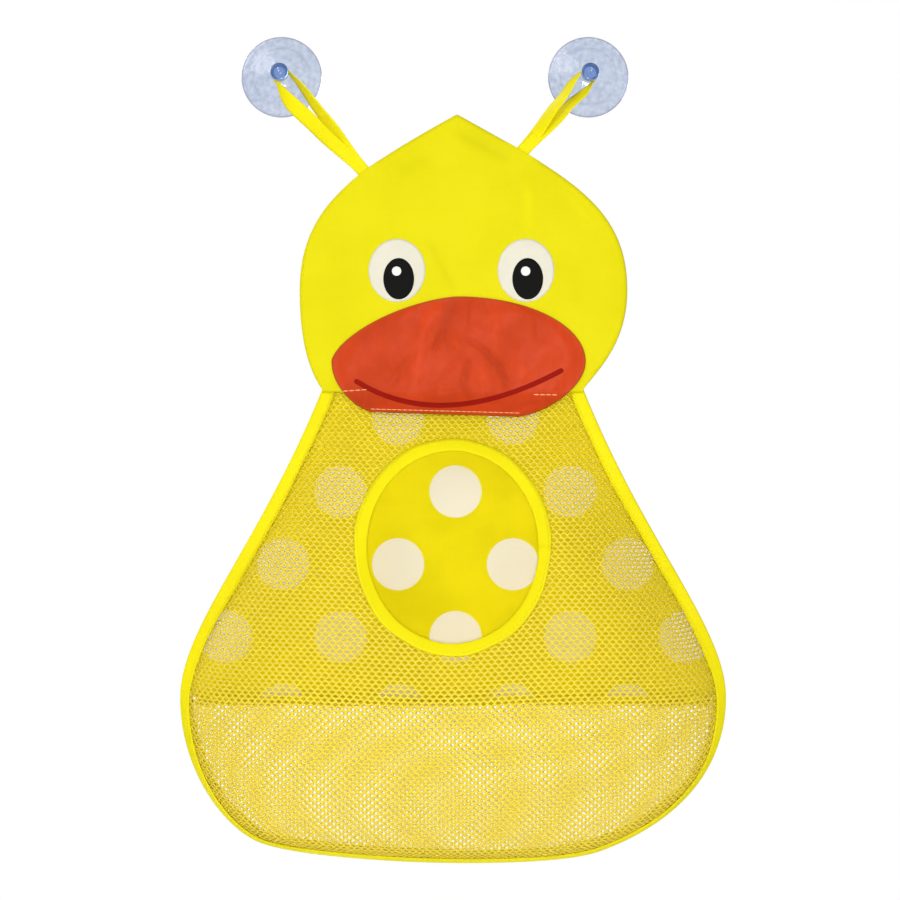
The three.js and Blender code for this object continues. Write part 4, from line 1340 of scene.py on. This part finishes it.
def make_back_cloth():
    """The cloth back, from the peak of the head to the seam at belly level."""
    left, right = (np.vstack([HEAD_EDGES[name], BODY_EDGES[name][1:]]) for name in ("left", "right"))
    line = np.vstack([left[::-1], right[1:]])
    levels = falling_rows(
        first_drops=(1.2, 3.0, 5.0, 8.0), even_drop=12, lowest=BELLY_LEVEL + SEAM_GAP, count=90
    )

    def depth_of(places):
        """Depth of the back: level along its seams and behind the head, slack in between."""
        gap, _ = edge_distance(places, line)
        free = smooth(gap, *BACK_EDGE_FADE) * smooth(places[:, 1] - BELLY_LEVEL, *BACK_SEAM_FADE)
        free *= smooth(NECK_LEVEL - places[:, 1], *BACK_NECK_FADE)
        return BACK_DEPTH + free * (BACK_BULGE + slack(places, BACK_WAVES))

    left_edge = edge_at(levels, left) + BACK_EDGE_GAP
    right_edge = edge_at(levels, right) - BACK_EDGE_GAP
    return cloth_sheet("back_cloth", levels, left_edge, right_edge, depth_of, BACK_CLOTH, columns=84)


STRAP_ROOTS = {name: edge_point(HEAD_EDGES[name], side["strap_root_drop"]) for name, side in SIDES.items()}


def fold(places, start, end, width, height):
    """A soft raised fold along a line, fading at its ends."""
    start, end = np.array(start, float), np.array(end, float)
    run = end - start
    length = np.linalg.norm(run)
    along = (places - start) @ run / length**2
    aside = ((places - start) @ np.array([-run[1], run[0]])) / length
    fade = smooth(along, *FOLD_START_FADE) * (1 - smooth(along, *FOLD_END_FADE))
    return height * fade * np.exp(-((aside / width) ** 2))


# Folds in the head's cloth: start and end from the peak, width, and height above or below the cloth
HEAD_FOLDS = (
    ((-1.2, -10.8), (32.9, -27.9), 4.0, -0.6),
    ((43.8, -42.0), (45.3, -73.0), 3.5, 0.5),
    ((-18.3, -76.0), (-1.2, -110.0), 3.2, -0.45),
    ((-36.9, -35.6), (-15.2, -26.3), 4.0, -0.35),
    ((67.0, -43.4), (82.5, -65.1), 3.0, 0.3),
)


def head_folds(places):
    """Height of the folds above the head's smooth cloth."""
    return sum(fold(places - PEAK, *shape) for shape in HEAD_FOLDS)


def head_depth(places):
    """Depth of the head's front: a turned edge rolled back to the seam, then a low pillow."""
    gap, along = edge_distance(places, HEAD_LINE)
    above_neck = places[:, 1] - NECK_LEVEL
    near_strap = np.zeros(len(places))
    for root in STRAP_ROOTS.values():
        from_root = np.linalg.norm(places - root, axis=1)
        near_strap = np.maximum(near_strap, 1 - smooth(from_root, *HEAD_STRAP_FADE))
    rim = mix(HEAD_RIM_DEPTH, HEAD_STRAP_DEPTH, near_strap)
    rim = mix(HEAD_STRAP_DEPTH, rim, smooth(above_neck, *HEAD_LAP_FADE))
    roll = np.sqrt(1 - (1 - np.clip(gap / HEAD_ROLL, 0, 1)) ** 2)
    pillow = HEAD_PILLOW * (1 - np.exp(-gap / PILLOW_RUN)) * smooth(above_neck, *HEAD_NECK_FADE)
    drift, drift_length = PUCKER_DRIFT
    gathers = np.sin(along / PUCKER_LENGTH + drift * np.sin(along / drift_length))
    pucker = PUCKER_HEIGHT * np.exp(-gap / PUCKER_RUN) * smooth(gap, *PUCKER_FADE) * gathers
    wave, wave_length = HEAD_WAVE
    soft = wave * smooth(gap, *HEAD_WAVE_FADE) * ripple(places[:, 0], places[:, 1], wave_length)
    folds = smooth(gap, *HEAD_FOLD_FADE) * head_folds(places)
    return mix(rim, HEAD_FLAT_DEPTH, roll) + pillow + pucker + soft + folds


def make_head_cloth():
    """The cloth front of the head. Its points hold the height of the folds."""
    levels = falling_rows(
        first_drops=(0.5, 1.2, 2.0, 3.0, 4.2, 5.6, 7.2, 9.0), even_drop=11,
        lowest=NECK_LEVEL - HEAD_LAP, count=110,
    )
    left, right = (edge_at(levels, HEAD_EDGES[name]) for name in ("left", "right"))
    head = cloth_sheet("head_cloth", levels, left, right, head_depth, HEAD_CLOTH, columns=120)
    # The fold heights set painted shade in the valleys and painted light on the ridges of the cloth's colour
    mark(head, "crease", head_folds(seen_places(head)))
    return head


def beak_reach(level, side):
    """Half width of the beak at a level above or below its widest line."""
    fullness = side["beak_fullness"]
    risen = np.clip(level / BEAK_RISE, 0, 1)
    upper = BEAK_HALF_WIDTH * (1 - risen**fullness) ** (1 / fullness)
    share = np.clip(-level / BEAK_HEM_DROP, 0, 1)
    lower = side["hem_reach"] + (BEAK_HALF_WIDTH - side["hem_reach"]) * (1 - share**2) ** BEAK_JAW_POWER
    return np.where(level >= 0, upper, lower)


def hem_sag(x, level):
    """How far the beak's lower part hangs down, more to the right than to the left."""
    share = np.clip(-level / BEAK_HEM_DROP, 0, 1)
    return -share**2 * (HEM_SAG + HEM_SLOPE * x)


def beak_base(places):
    """Depth of the beak's rear: on the head, then over the top of the net."""
    on_head = head_depth(places) + BEAK_HEAD_GAP
    over_net = (net_depth(places) + BEAK_NET_GAP) * smooth(NECK_LEVEL - places[:, 1], *BEAK_NET_FADE)
    return BEAK_STEP_ROUNDING * np.logaddexp(on_head / BEAK_STEP_ROUNDING, over_net / BEAK_STEP_ROUNDING)


# Folds in the beak: start and end from its centre, width, and height above or below the cloth
BEAK_FOLDS = (
    ((-2.5, 39.0), (-8.4, 19.8), 4.4, -1.1),
    ((-8.0, 21.0), (-15.6, 6.5), 2.2, -1.2),
    ((-27.0, 5.0), (-43.0, -15.0), 2.4, -0.8),
    ((-20.5, 35.0), (-30.5, 20.0), 3.0, -0.6),
    ((-13.5, 36.0), (-23.0, 15.0), 3.4, 0.8),
    ((-22.5, 16.0), (-27.5, -15.0), 3.8, 0.8),
    ((5.0, 14.5), (16.8, 6.0), 2.2, -1.2),
    ((15.5, 7.2), (25.4, -4.0), 2.4, -1.3),
    ((24.5, -2.5), (31.0, -17.5), 2.2, -1.1),
    ((12.0, -2.0), (19.0, -18.0), 4.4, 1.0),
    ((30.0, 6.0), (42.0, -12.0), 4.4, 0.6),
    ((5.8, 0.8), (2.6, -12.0), 2.0, -1.0),
    ((2.8, -11.0), (7.0, -23.0), 1.9, -0.9),
    ((6.4, 36.0), (6.6, 20.0), 1.2, -0.5),
    ((-3.6, 14.0), (0.8, 7.4), 1.5, 0.8),
    ((-17.0, -15.5), (-1.5, -15.0), 1.2, 0.5),
    ((-18.0, -19.0), (-2.0, -18.4), 1.2, 0.4),
    ((-18.0, -12.0), (-14.0, -19.5), 1.6, -0.6),
    ((22.5, 37.0), (23.5, 5.0), 2.6, 0.4),
    ((48.5, 30.0), (48.0, 8.0), 2.4, -0.4),
    ((-72.0, -20.0), (-50.0, -28.0), 5.0, -0.7),
    ((41.0, -27.0), (64.0, -22.0), 4.0, -0.7),
)


def beak_folds(places):
    """Height of the folds above the beak's smooth cloth."""
    return sum(fold(places - BEAK_CENTRE, *shape) for shape in BEAK_FOLDS)


def beak_depth(places):
    """Depth of the beak's front face, with the soft folds of its coated cloth."""
    x, level = (places - BEAK_CENTRE).T
    left, right = (beak_reach(level, SIDES[name]) for name in ("left", "right"))
    from_side = np.where(x < 0, left, right) - np.abs(x)
    free = smooth(np.minimum(from_side, BEAK_RISE - level), *BEAK_EDGE_FADE)
    raised = BEAK_FOLD_SHARE * beak_folds(places) + slack(places, BEAK_WAVES) + BEAK_LIFT
    return beak_base(places) + CLOTH_THICKNESS + free * raised


def make_beak(rows=110, columns=180):
    """The beak's cloth. Its points hold their distance from the edge and the height of the folds."""
    top = BEAK_RISE * math.sqrt(1 - (BEAK_TOP_WIDTH / 2 / BEAK_HALF_WIDTH) ** 2)
    rise = -np.sin(np.linspace(-math.pi / 2, math.pi / 2, rows))
    level = np.where(rise > 0, rise * top, rise * BEAK_HEM_DROP)
    left, right = -beak_reach(level, SIDES["left"]), beak_reach(level, SIDES["right"])
    places = rows_between(level, left, right, crowded(columns, BEAK_CROWDING))
    places[..., 1] += hem_sag(places[..., 0], level[:, None])
    places += BEAK_CENTRE
    outline = np.vstack([places[::-1, 0], places[:, -1], places[-1:, 0]])
    flat = places.reshape(-1, 2)
    points = in_front(flat, beak_depth(flat))
    beak = new_piece("beak_cloth", points, grid_faces(rows, columns), BEAK_CLOTH, flat)
    thicken(beak, CLOTH_THICKNESS)
    seen = seen_places(beak)
    mark(beak, "edge", edge_distance(seen, outline)[0] * MM)
    # The fold heights set painted shade in the valleys and painted light on the ridges of the beak's colour
    mark(beak, "crease", beak_folds(seen))
    return beak


def printed_patch(name, centre, half, lift, material, rays=64, rings=12):
    """An oval of ink that follows the head's cloth."""
    oval = circle(rays)[1] * half
    places = np.vstack([centre] + [centre + oval * ring / rings for ring in range(1, rings + 1)])
    points = in_front(places, head_depth(places) + lift)
    patch = new_piece(name, points, disc_faces(rings, rays), material, places)
    return thicken(patch, lift * PRINT_THICKNESS_SHARE)


def make_mouth_line():
    """The printed smile, a band with round ends that follows the beak."""
    line = evenly(bezier(MOUTH_LINE, count=120), count=150)
    along = unit(np.gradient(line, axis=0))
    across = np.stack([-along[:, 1], along[:, 0]], axis=1)
    travelled = run_length(line)
    from_end = np.minimum(travelled, travelled[-1] - travelled)
    half = MOUTH_LINE_WIDTH / 2
    width = half * np.sqrt(1 - (1 - np.clip((from_end + MOUTH_LINE_TIP) / half, 0, 1)) ** 2)
    shares = np.linspace(-1, 1, 7)
    places = (line[:, None, :] + across[:, None, :] * (width[:, None] * shares)[..., None]).reshape(-1, 2)
    faces = [face[::-1] for face in grid_faces(len(line), len(shares))]
    points = in_front(places, beak_depth(places) + PRINT_LIFT)
    band = new_piece("mouth_line_print", points, faces, LINE_PRINT, places)
    return thicken(band, PRINT_LIFT * PRINT_THICKNESS_SHARE)


# Bindings

# Where along a folded tape's front arm its points lie
ARM_STATIONS = np.array([0.33, 0.66, 1.0])


def tape_section(width, rear, front, opening):
    """Closed section of a tape folded over an edge. Across runs into the bag, depth to the front. The
    rear arm lies flat; the front arm opens by an angle."""
    middle, radius = (rear + front) / 2, (front - rear) / 2
    arcs = np.linspace(-math.pi / 2, math.pi / 2 - opening, 7)
    tip = np.array([math.cos(opening), math.sin(opening)])
    faces = []
    for offset in (TAPE_THICKNESS / 2, -TAPE_THICKNESS / 2):
        size = radius + offset
        arc = np.stack([radius - np.cos(arcs) * size, middle + np.sin(arcs) * size], axis=1)
        rear_arm = np.array([[width, rear - offset], [width / 2, rear - offset]])
        front_arm = arc[-1] + (width - radius) * ARM_STATIONS[:, None] * tip
        faces.append(np.vstack([rear_arm, arc, front_arm]))
    return np.vstack([faces[0], faces[1][::-1]])


def stitch_spot(section, opening):
    """Where stitches sit on a tape's section: on the front arm, near its edge."""
    before, tip = section[len(section) // 2 - 2 : len(section) // 2]
    upwards = np.array([-math.sin(opening), math.cos(opening)])
    return mix(before, tip, TAPE_STITCH_INSET) + TAPE_STITCH_LIFT * upwards


def make_outer_binding():
    """The folded tape round the body, from neck to neck, and the line of its stitches."""
    line = evenly(BODY_LINE, count=260)
    into = inward(line)
    into[0], into[-1] = (-1, 0), (1, 0)
    sections, flat, sewn = [], [], []
    for point, way, travelled in zip(line, into, run_length(line)):
        opening = float(tape_tilt(point[1]))
        width = TAPE_WIDTH + waver(travelled, OUTER_WIDTH_WAVER)
        front = TAPE_FRONT_DEPTH + waver(travelled, OUTER_FRONT_WAVER)
        section = tape_section(width, TAPE_REAR_DEPTH, front, opening)
        sections.append(in_front(point + section[:, :1] * way, section[:, 1]))
        flat.append(paired(travelled, run_length(section)))
        spot = stitch_spot(section, opening)[None]
        sewn.append(in_front(point + spot[:, :1] * way, spot[:, 1]))
    tape = sweep("outer_binding_tape", np.array(sections), TAPE, np.vstack(flat))
    return tape, np.vstack(sewn)


def make_mouth_binding(count=220):
    """The folded tape round the oval mouth, and the line of its stitches."""
    angles, around = circle(count)
    headings = unit(around * MOUTH_HALF)
    rim, lip, _, lip_depth = net_rays(headings)

    def at_share(share):
        """Points of the net a share of the way from the rim to the binding."""
        places = MOUTH_CENTRE + headings * mix(rim, lip, share)[:, None]
        return in_front(places, net_curve(headings, rim, lip_depth, share))

    edge = at_share(np.zeros(count))
    outwards = unit(at_share(TAPE_WIDTH / (lip - rim)) - edge)
    along = np.roll(edge, -1, axis=0) - np.roll(edge, 1, axis=0)
    normal = unit(np.cross(along, outwards))
    normal *= np.where(normal[:, 1:2] > 0, -1, 1)
    travelled = run_length(np.vstack([edge, edge[:1]]))
    sections, flat, sewn = [], [], []
    for k, turn in enumerate(angles):
        width = TAPE_WIDTH + waver(turn, MOUTH_WIDTH_WAVER)
        section = tape_section(width, -MOUTH_TAPE_DEPTH, MOUTH_TAPE_DEPTH, 0.0)
        flat.append(paired(travelled[k], run_length(section)))
        shift = np.array([-MOUTH_TAPE_OVERLAP, waver(turn, MOUTH_LIFT_WAVER)])
        ways = np.stack([outwards[k], normal[k]])
        sections.append(edge[k] + (section + shift) @ ways)
        sewn.append(edge[k] + (stitch_spot(section, 0.0) + shift) @ ways)
    tape = sweep("mouth_binding_tape", np.array(sections), TAPE, np.vstack(flat), closed=True)
    return tape, np.array(sewn + sewn[:1])


def make_seam_tape():
    """The tape behind the seam between the cloth back and the rear net, and the lines of its stitches."""
    inner = TAPE_WIDTH + SEAM_TAPE_INSET
    left = PEAK[0] - SIDES["left"]["belly_reach"] + inner
    right = PEAK[0] + SIDES["right"]["belly_reach"] - inner
    x = np.linspace(left, right, 160)
    centre = BELLY_LEVEL + waver(x, SEAM_LEVEL_WAVER)
    width = SEAM_TAPE_WIDTH + waver(x, SEAM_WIDTH_WAVER)
    across = np.linspace(-0.5, 0.5, 5)
    both_faces = np.concatenate([across, across[::-1]])
    rear = SEAM_TAPE_REAR_DEPTH - SEAM_TAPE_CROWN * (1 - (2 * across) ** 2)
    depth = np.concatenate([rear, np.full(len(across), SEAM_TAPE_FRONT_DEPTH)])
    sections, flat = [], []
    for k in range(len(x)):
        sections.append(in_front(paired(x[k], centre[k] + both_faces * width[k]), depth))
        flat.append(paired(x[k], both_faces * SEAM_TAPE_WIDTH))
    tape = sweep("rear_seam_tape_strip", np.array(sections), TAPE, np.vstack(flat))
    sewn_depth = np.full(len(x), SEAM_STITCH_DEPTH)
    sewn = [
        in_front(np.stack([x, centre + side * SEAM_STITCH_REACH], axis=1), sewn_depth) for side in (-1, 1)
    ]
    return tape, sewn


# Tape loops

def eased(stations, values, at, count=241, reach=20):
    """A soft curve near values given at stations: straight lines between them, averaged over near points."""
    fine = np.linspace(stations[0], stations[-1], count)
    line = np.pad(np.interp(fine, stations, values), reach, mode="edge")
    window = 2 * reach + 1
    return np.interp(at, fine, np.convolve(line, np.full(window, 1 / window), "valid"))


def tape_run(name):
    """Where a cup's axis lies, how far the strap's root is from it, and the ways down and to the side."""
    cup = np.array([SIDES[name]["sign"] * CUP_REACH, 0.0])
    run = STRAP_ROOTS[name] - cup
    length = np.linalg.norm(run)
    down = run / length
    return cup, length, down, np.array([-down[1], down[0]])


def tape_leg(name, leg, reach):
    """Middle line, outward direction and width of one leg of a hanging tape, by the distance from the
    cup's axis. The leg leaves the neck edge-on and turns its face to the front; leg is -1 or 1, the side
    that it is on."""
    side = SIDES[name]
    slit_end = side["slit_end"]
    cup, length, down, aside = tape_run(name)
    slit = (LOOP_RADIUS - SLIT_TIGHTNESS) * (1 - smooth(reach, SLIT_START, slit_end))
    inner = slit - STRAP_ROOT_WIDTH / 2 * smooth(reach, slit_end - LEG_OVERLAP_LEAD, length)
    seen = eased(side["leg_stations"], side["leg_widths"][(leg + 1) // 2], reach)
    width = mix(LOOP_WIDTH, STRAP_WIDTH, smooth(reach, *LEG_WIDENING))
    width = mix(width, STRAP_ROOT_WIDTH, smooth(reach, slit_end, length - LEG_NARROWING_END))
    turn = np.arcsin(np.clip(seen / width, 0, 1))
    offset = leg * (inner + seen / 2)
    depth = mix(LOOP_DEPTH, STRAP_DEPTH, smooth(reach, LEG_SINK_START, length - LEG_SINK_END))
    depth = depth + leg * LEG_SPACING / 2 * smooth(reach, LEG_SPACING_START, slit_end)
    centre = cup + down * reach[:, None] + aside * offset[:, None]
    sideways = leg * np.array([aside[0], 0, aside[1]])
    forwards = np.array([0, leg, 0])
    out = np.cos(turn)[:, None] * sideways + np.sin(turn)[:, None] * forwards
    return in_front(centre, depth), out, width


def make_hanging_tape(name):
    """One tape that leaves the head, loops round the neck of its cup and comes back, and its length."""
    cup, length, down, aside = tape_run(name)
    reach = np.linspace(length + STRAP_TAIL, 0, 110)
    first, second = (tape_leg(name, leg, reach) for leg in (-1, 1))
    angles = np.linspace(-math.pi / 2, math.pi / 2, 24)[1:-1, None]
    ways = -down * np.cos(angles) + aside * np.sin(angles)
    top_centres = in_front(cup + ways * LOOP_RADIUS, np.full(len(angles), LOOP_DEPTH))
    top_out = in_front(ways, np.zeros(len(angles)))
    centres = np.vstack([first[0], top_centres, second[0][::-1]])
    out = np.vstack([first[1], top_out, second[1][::-1]])
    width = np.concatenate([first[2], np.full(len(angles), LOOP_WIDTH), second[2][::-1]])
    leg_curl = 1 - smooth(reach, *(length - lead for lead in CURL_END_FADE))
    curl = LOOP_CURL * np.concatenate([leg_curl, np.ones(len(angles)), leg_curl[::-1]])
    along = unit(np.gradient(centres, axis=0))
    out = unit(out - along * np.sum(out * along, axis=1, keepdims=True))
    edgewise = np.cross(along, out)
    travelled = run_length(centres)
    shares = np.linspace(-0.5, 0.5, 7)
    both_faces = np.concatenate([shares, shares[::-1]])
    edge = LOOP_TAPE_THICKNESS / 2 * np.sqrt(np.clip(1 - (2 * shares) ** TAPE_EDGE_POWER, TAPE_EDGE_LEAST, 1))
    sections, flat = [], []
    for k in range(len(centres)):
        crown = curl[k] * (1 - (2 * shares) ** 2)
        line = centres[k] + edgewise[k] * (shares * width[k])[:, None]
        face = line + out[k] * (crown + edge)[:, None]
        rear = line + out[k] * (crown - edge)[:, None]
        sections.append(np.vstack([face, rear[::-1]]))
        flat.append(paired(travelled[k], both_faces * STRAP_WIDTH))
    tape = sweep(name + "_hanging_tape", np.array(sections), TAPE, np.vstack(flat))
    return tape, travelled[-1]


# Suction cups

def cup_profile():
    """Half section of a cup as radius and depth, from the middle of the hollow to the knob's dimple."""
    hollow = bezier([(0, 3.6), (12.6, 3.6), (21, 0.0)], 16)
    outer = CUP_RADIUS + 0.15
    lip = bezier([(CUP_RADIUS - 0.5, 0.0), (outer, 0.0), (outer, 1.0), (CUP_RADIUS - 0.7, 1.25)], 8)
    dome = bezier([(CUP_RADIUS - 1.6, 1.35), (18.0, 4.4), (11.5, 7.0), (NECK_RADIUS + 1.2, 8.4)], 26)
    root = bezier([(NECK_RADIUS + 1.2, 8.4), (NECK_RADIUS, 8.7), (NECK_RADIUS, 9.6)], 6)
    under = bezier([(NECK_RADIUS, 15.4), (NECK_RADIUS, 16.0), (NECK_RADIUS + 0.6, 16.0)], 5)
    rim = bezier([(4.9, 16.0), (5.5, 16.0), (5.5, 16.7)], 5)
    crown = bezier([(5.5, 19.6), (5.5, 21.0), (4.1, 21.0)], 7)
    dimple = bezier([(2.6, 21.0), (1.6, 21.0), (1.3, 20.5), (0, 20.5)], 7)
    return np.vstack([hollow, lip, dome, root[1:], under, rim, crown, dimple])


def make_cup(name, turns=96):
    """A moulded cup: sealing lip, shallow hollow, domed back, neck and knob, turned about its axis."""
    profile = cup_profile()
    rings = profile[1:-1]
    _, around = circle(turns)
    centre = SIDES[name]["sign"] * CUP_REACH
    points = [(centre, -profile[0, 1], 0.0)]
    for radius, depth in rings:
        points.extend((centre + radius * aside, -depth, radius * upward) for upward, aside in around)
    points.append((centre, -profile[-1, 1], 0.0))
    last = len(points) - 1
    first = last - turns
    faces = disc_faces(len(rings), turns)
    faces += [(first + k, last, first + (k + 1) % turns) for k in range(turns)]
    cup = new_piece(name + "_cup", points, faces, CLEAR_VINYL)
    face_outwards(cup)
    cup.data.materials.append(KNOB_VINYL)
    for face in cup.data.polygons:
        face.material_index = int(face.center.y < -KNOB_DEPTH * MM)
    return cup


# Making and placing the pieces


def on_beak(places):
    """Points for stitches on the beak's front."""
    return in_front(places, beak_depth(places) + STITCH_LIFT)


def hem_line():
    """Where the stitches of the beak's hem run."""
    left, right = (SIDES[name]["hem_reach"] - HEM_STITCH_INSET for name in ("left", "right"))
    x = np.linspace(-left, right, 60)
    level = HEM_STITCH_RISE - BEAK_HEM_DROP
    return BEAK_CENTRE + np.stack([x, level + hem_sag(x, level)], axis=1)


back_cloth = make_back_cloth()
head_cloth = make_head_cloth()
beak_cloth = make_beak()
front_net, net_area = make_front_net()
drain_net = make_drain_net()
outer_tape, outer_sewn = make_outer_binding()
mouth_tape, mouth_sewn = make_mouth_binding()
seam_tape, seam_sewn = make_seam_tape()
mouth_line = make_mouth_line()

for piece, replaced, slot in (
    (back_cloth, "back_panel", "dotted_cloth"),
    (head_cloth, "head_front_panel", "yellow_cloth"),
    (beak_cloth, "beak_panel", "orange_cloth"),
    (front_net, "front_net", "cream_net"),
    (drain_net, "rear_drain_net", "cream_net"),
    (outer_tape, "outer_binding", "yellow_tape"),
    (mouth_tape, "mouth_binding", "yellow_tape"),
    (seam_tape, "rear_seam_tape", "yellow_tape"),
    (mouth_line, "mouth_line", "red_transfer"),
):
    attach(piece, "bag")
    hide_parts(replaced)

for name, eye_centre in EYE_CENTRES.items():
    eye = printed_patch(name + "_eye_print", eye_centre, EYE_HALF, PRINT_LIFT, EYE_PRINT)
    pupil = printed_patch(
        name + "_pupil_print", eye_centre + PUPIL_SHIFT, PUPIL_HALF, 2 * PRINT_LIFT, PUPIL_PRINT
    )
    glint = printed_patch(
        name + "_glint_print", eye_centre + GLINT_SHIFT, GLINT_HALF, 3 * PRINT_LIFT, GLINT_PRINT,
        rays=32, rings=5,
    )
    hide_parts(name + "_eye_white")
    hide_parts(name + "_pupil")
    for printed in (eye, pupil, glint):
        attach(printed, "bag")

    cup = make_cup(name)
    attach(cup, name + "_cup")
    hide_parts(name + "_suction_cup")

    tape, tape_length = make_hanging_tape(name)
    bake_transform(tape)
    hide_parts(name + "_loop_eye", name + "_strap")

tack_paths = [on_beak(evenly(np.array(ends), count=12)) for ends in TACK_LINES]
for name, paths, thread, stitch in (
    ("outer_binding_stitches", [outer_sewn], TAPE_THREAD, TAPE_STITCH),
    ("mouth_binding_stitches", [mouth_sewn], TAPE_THREAD, TAPE_STITCH),
    ("seam_tape_stitches", seam_sewn, TAPE_THREAD, TAPE_STITCH),
    ("beak_hem_stitches", [on_beak(hem_line())], PALE_THREAD, HEM_STITCH),
    ("beak_tack_stitches", tack_paths, PALE_THREAD, TACK_STITCH),
):
    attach(stitches(name, paths, thread, stitch), "bag")


# Stage, light and camera

def make_floor(turns=96):
    """A round pale floor, below the view."""
    edge = circle(turns)[1] * FLOOR_RADIUS
    points = [(x, y, FLOOR_LEVEL) for x, y in np.vstack([(0, 0), edge])]
    new_piece("floor", points, disc_faces(1, turns), floor_material())


def soft_light(name, place, aim, size, power):
    """A square soft box turned towards a point."""
    light = bpy.data.lights.new(name, "AREA")
    light.shape = "SQUARE"
    light.size = size
    light.energy = power
    box = add_object(name, light)
    box.location = place
    box.rotation_euler = (Vector(aim) - Vector(place)).to_track_quat("-Z", "Y").to_euler()


def make_world():
    """White all round for the eye, somewhat dimmer as a light."""
    world = bpy.data.worlds.new("white_studio")
    bpy.context.scene.world = world
    world.use_nodes = True
    tree = world.node_tree
    tree.nodes.clear()
    path = node(tree, "ShaderNodeLightPath").outputs
    through_glass = maths(tree, "GREATER_THAN", path["Is Transmission Ray"], path["Is Diffuse Ray"])
    seen = maths(tree, "MAXIMUM", path["Is Camera Ray"], through_glass)
    strength = ramp(tree, seen, start=WORLD_LIGHT, end=WORLD_SEEN)
    white = node(tree, "ShaderNodeBackground", {"Color": (1, 1, 1, 1), "Strength": strength})
    node(tree, "ShaderNodeOutputWorld", {"Surface": white.outputs[0]})


def make_camera():
    """Straight on, level with the middle of the photograph."""
    lens = bpy.data.cameras.new("camera")
    lens.sensor_width = SENSOR_WIDTH
    lens.lens = SENSOR_WIDTH * VIEW_DISTANCE / VIEW_WIDTH
    camera = add_object("camera", lens)
    camera.location = (VIEW_X, -VIEW_DISTANCE, VIEW_Z)
    camera.rotation_euler = (math.pi / 2, 0, 0)
    bpy.context.scene.camera = camera


make_floor()
make_world()
for name, light in LIGHTS.items():
    soft_light(name, *light)
make_camera()
bpy.context.scene.view_settings.view_transform = "Standard"
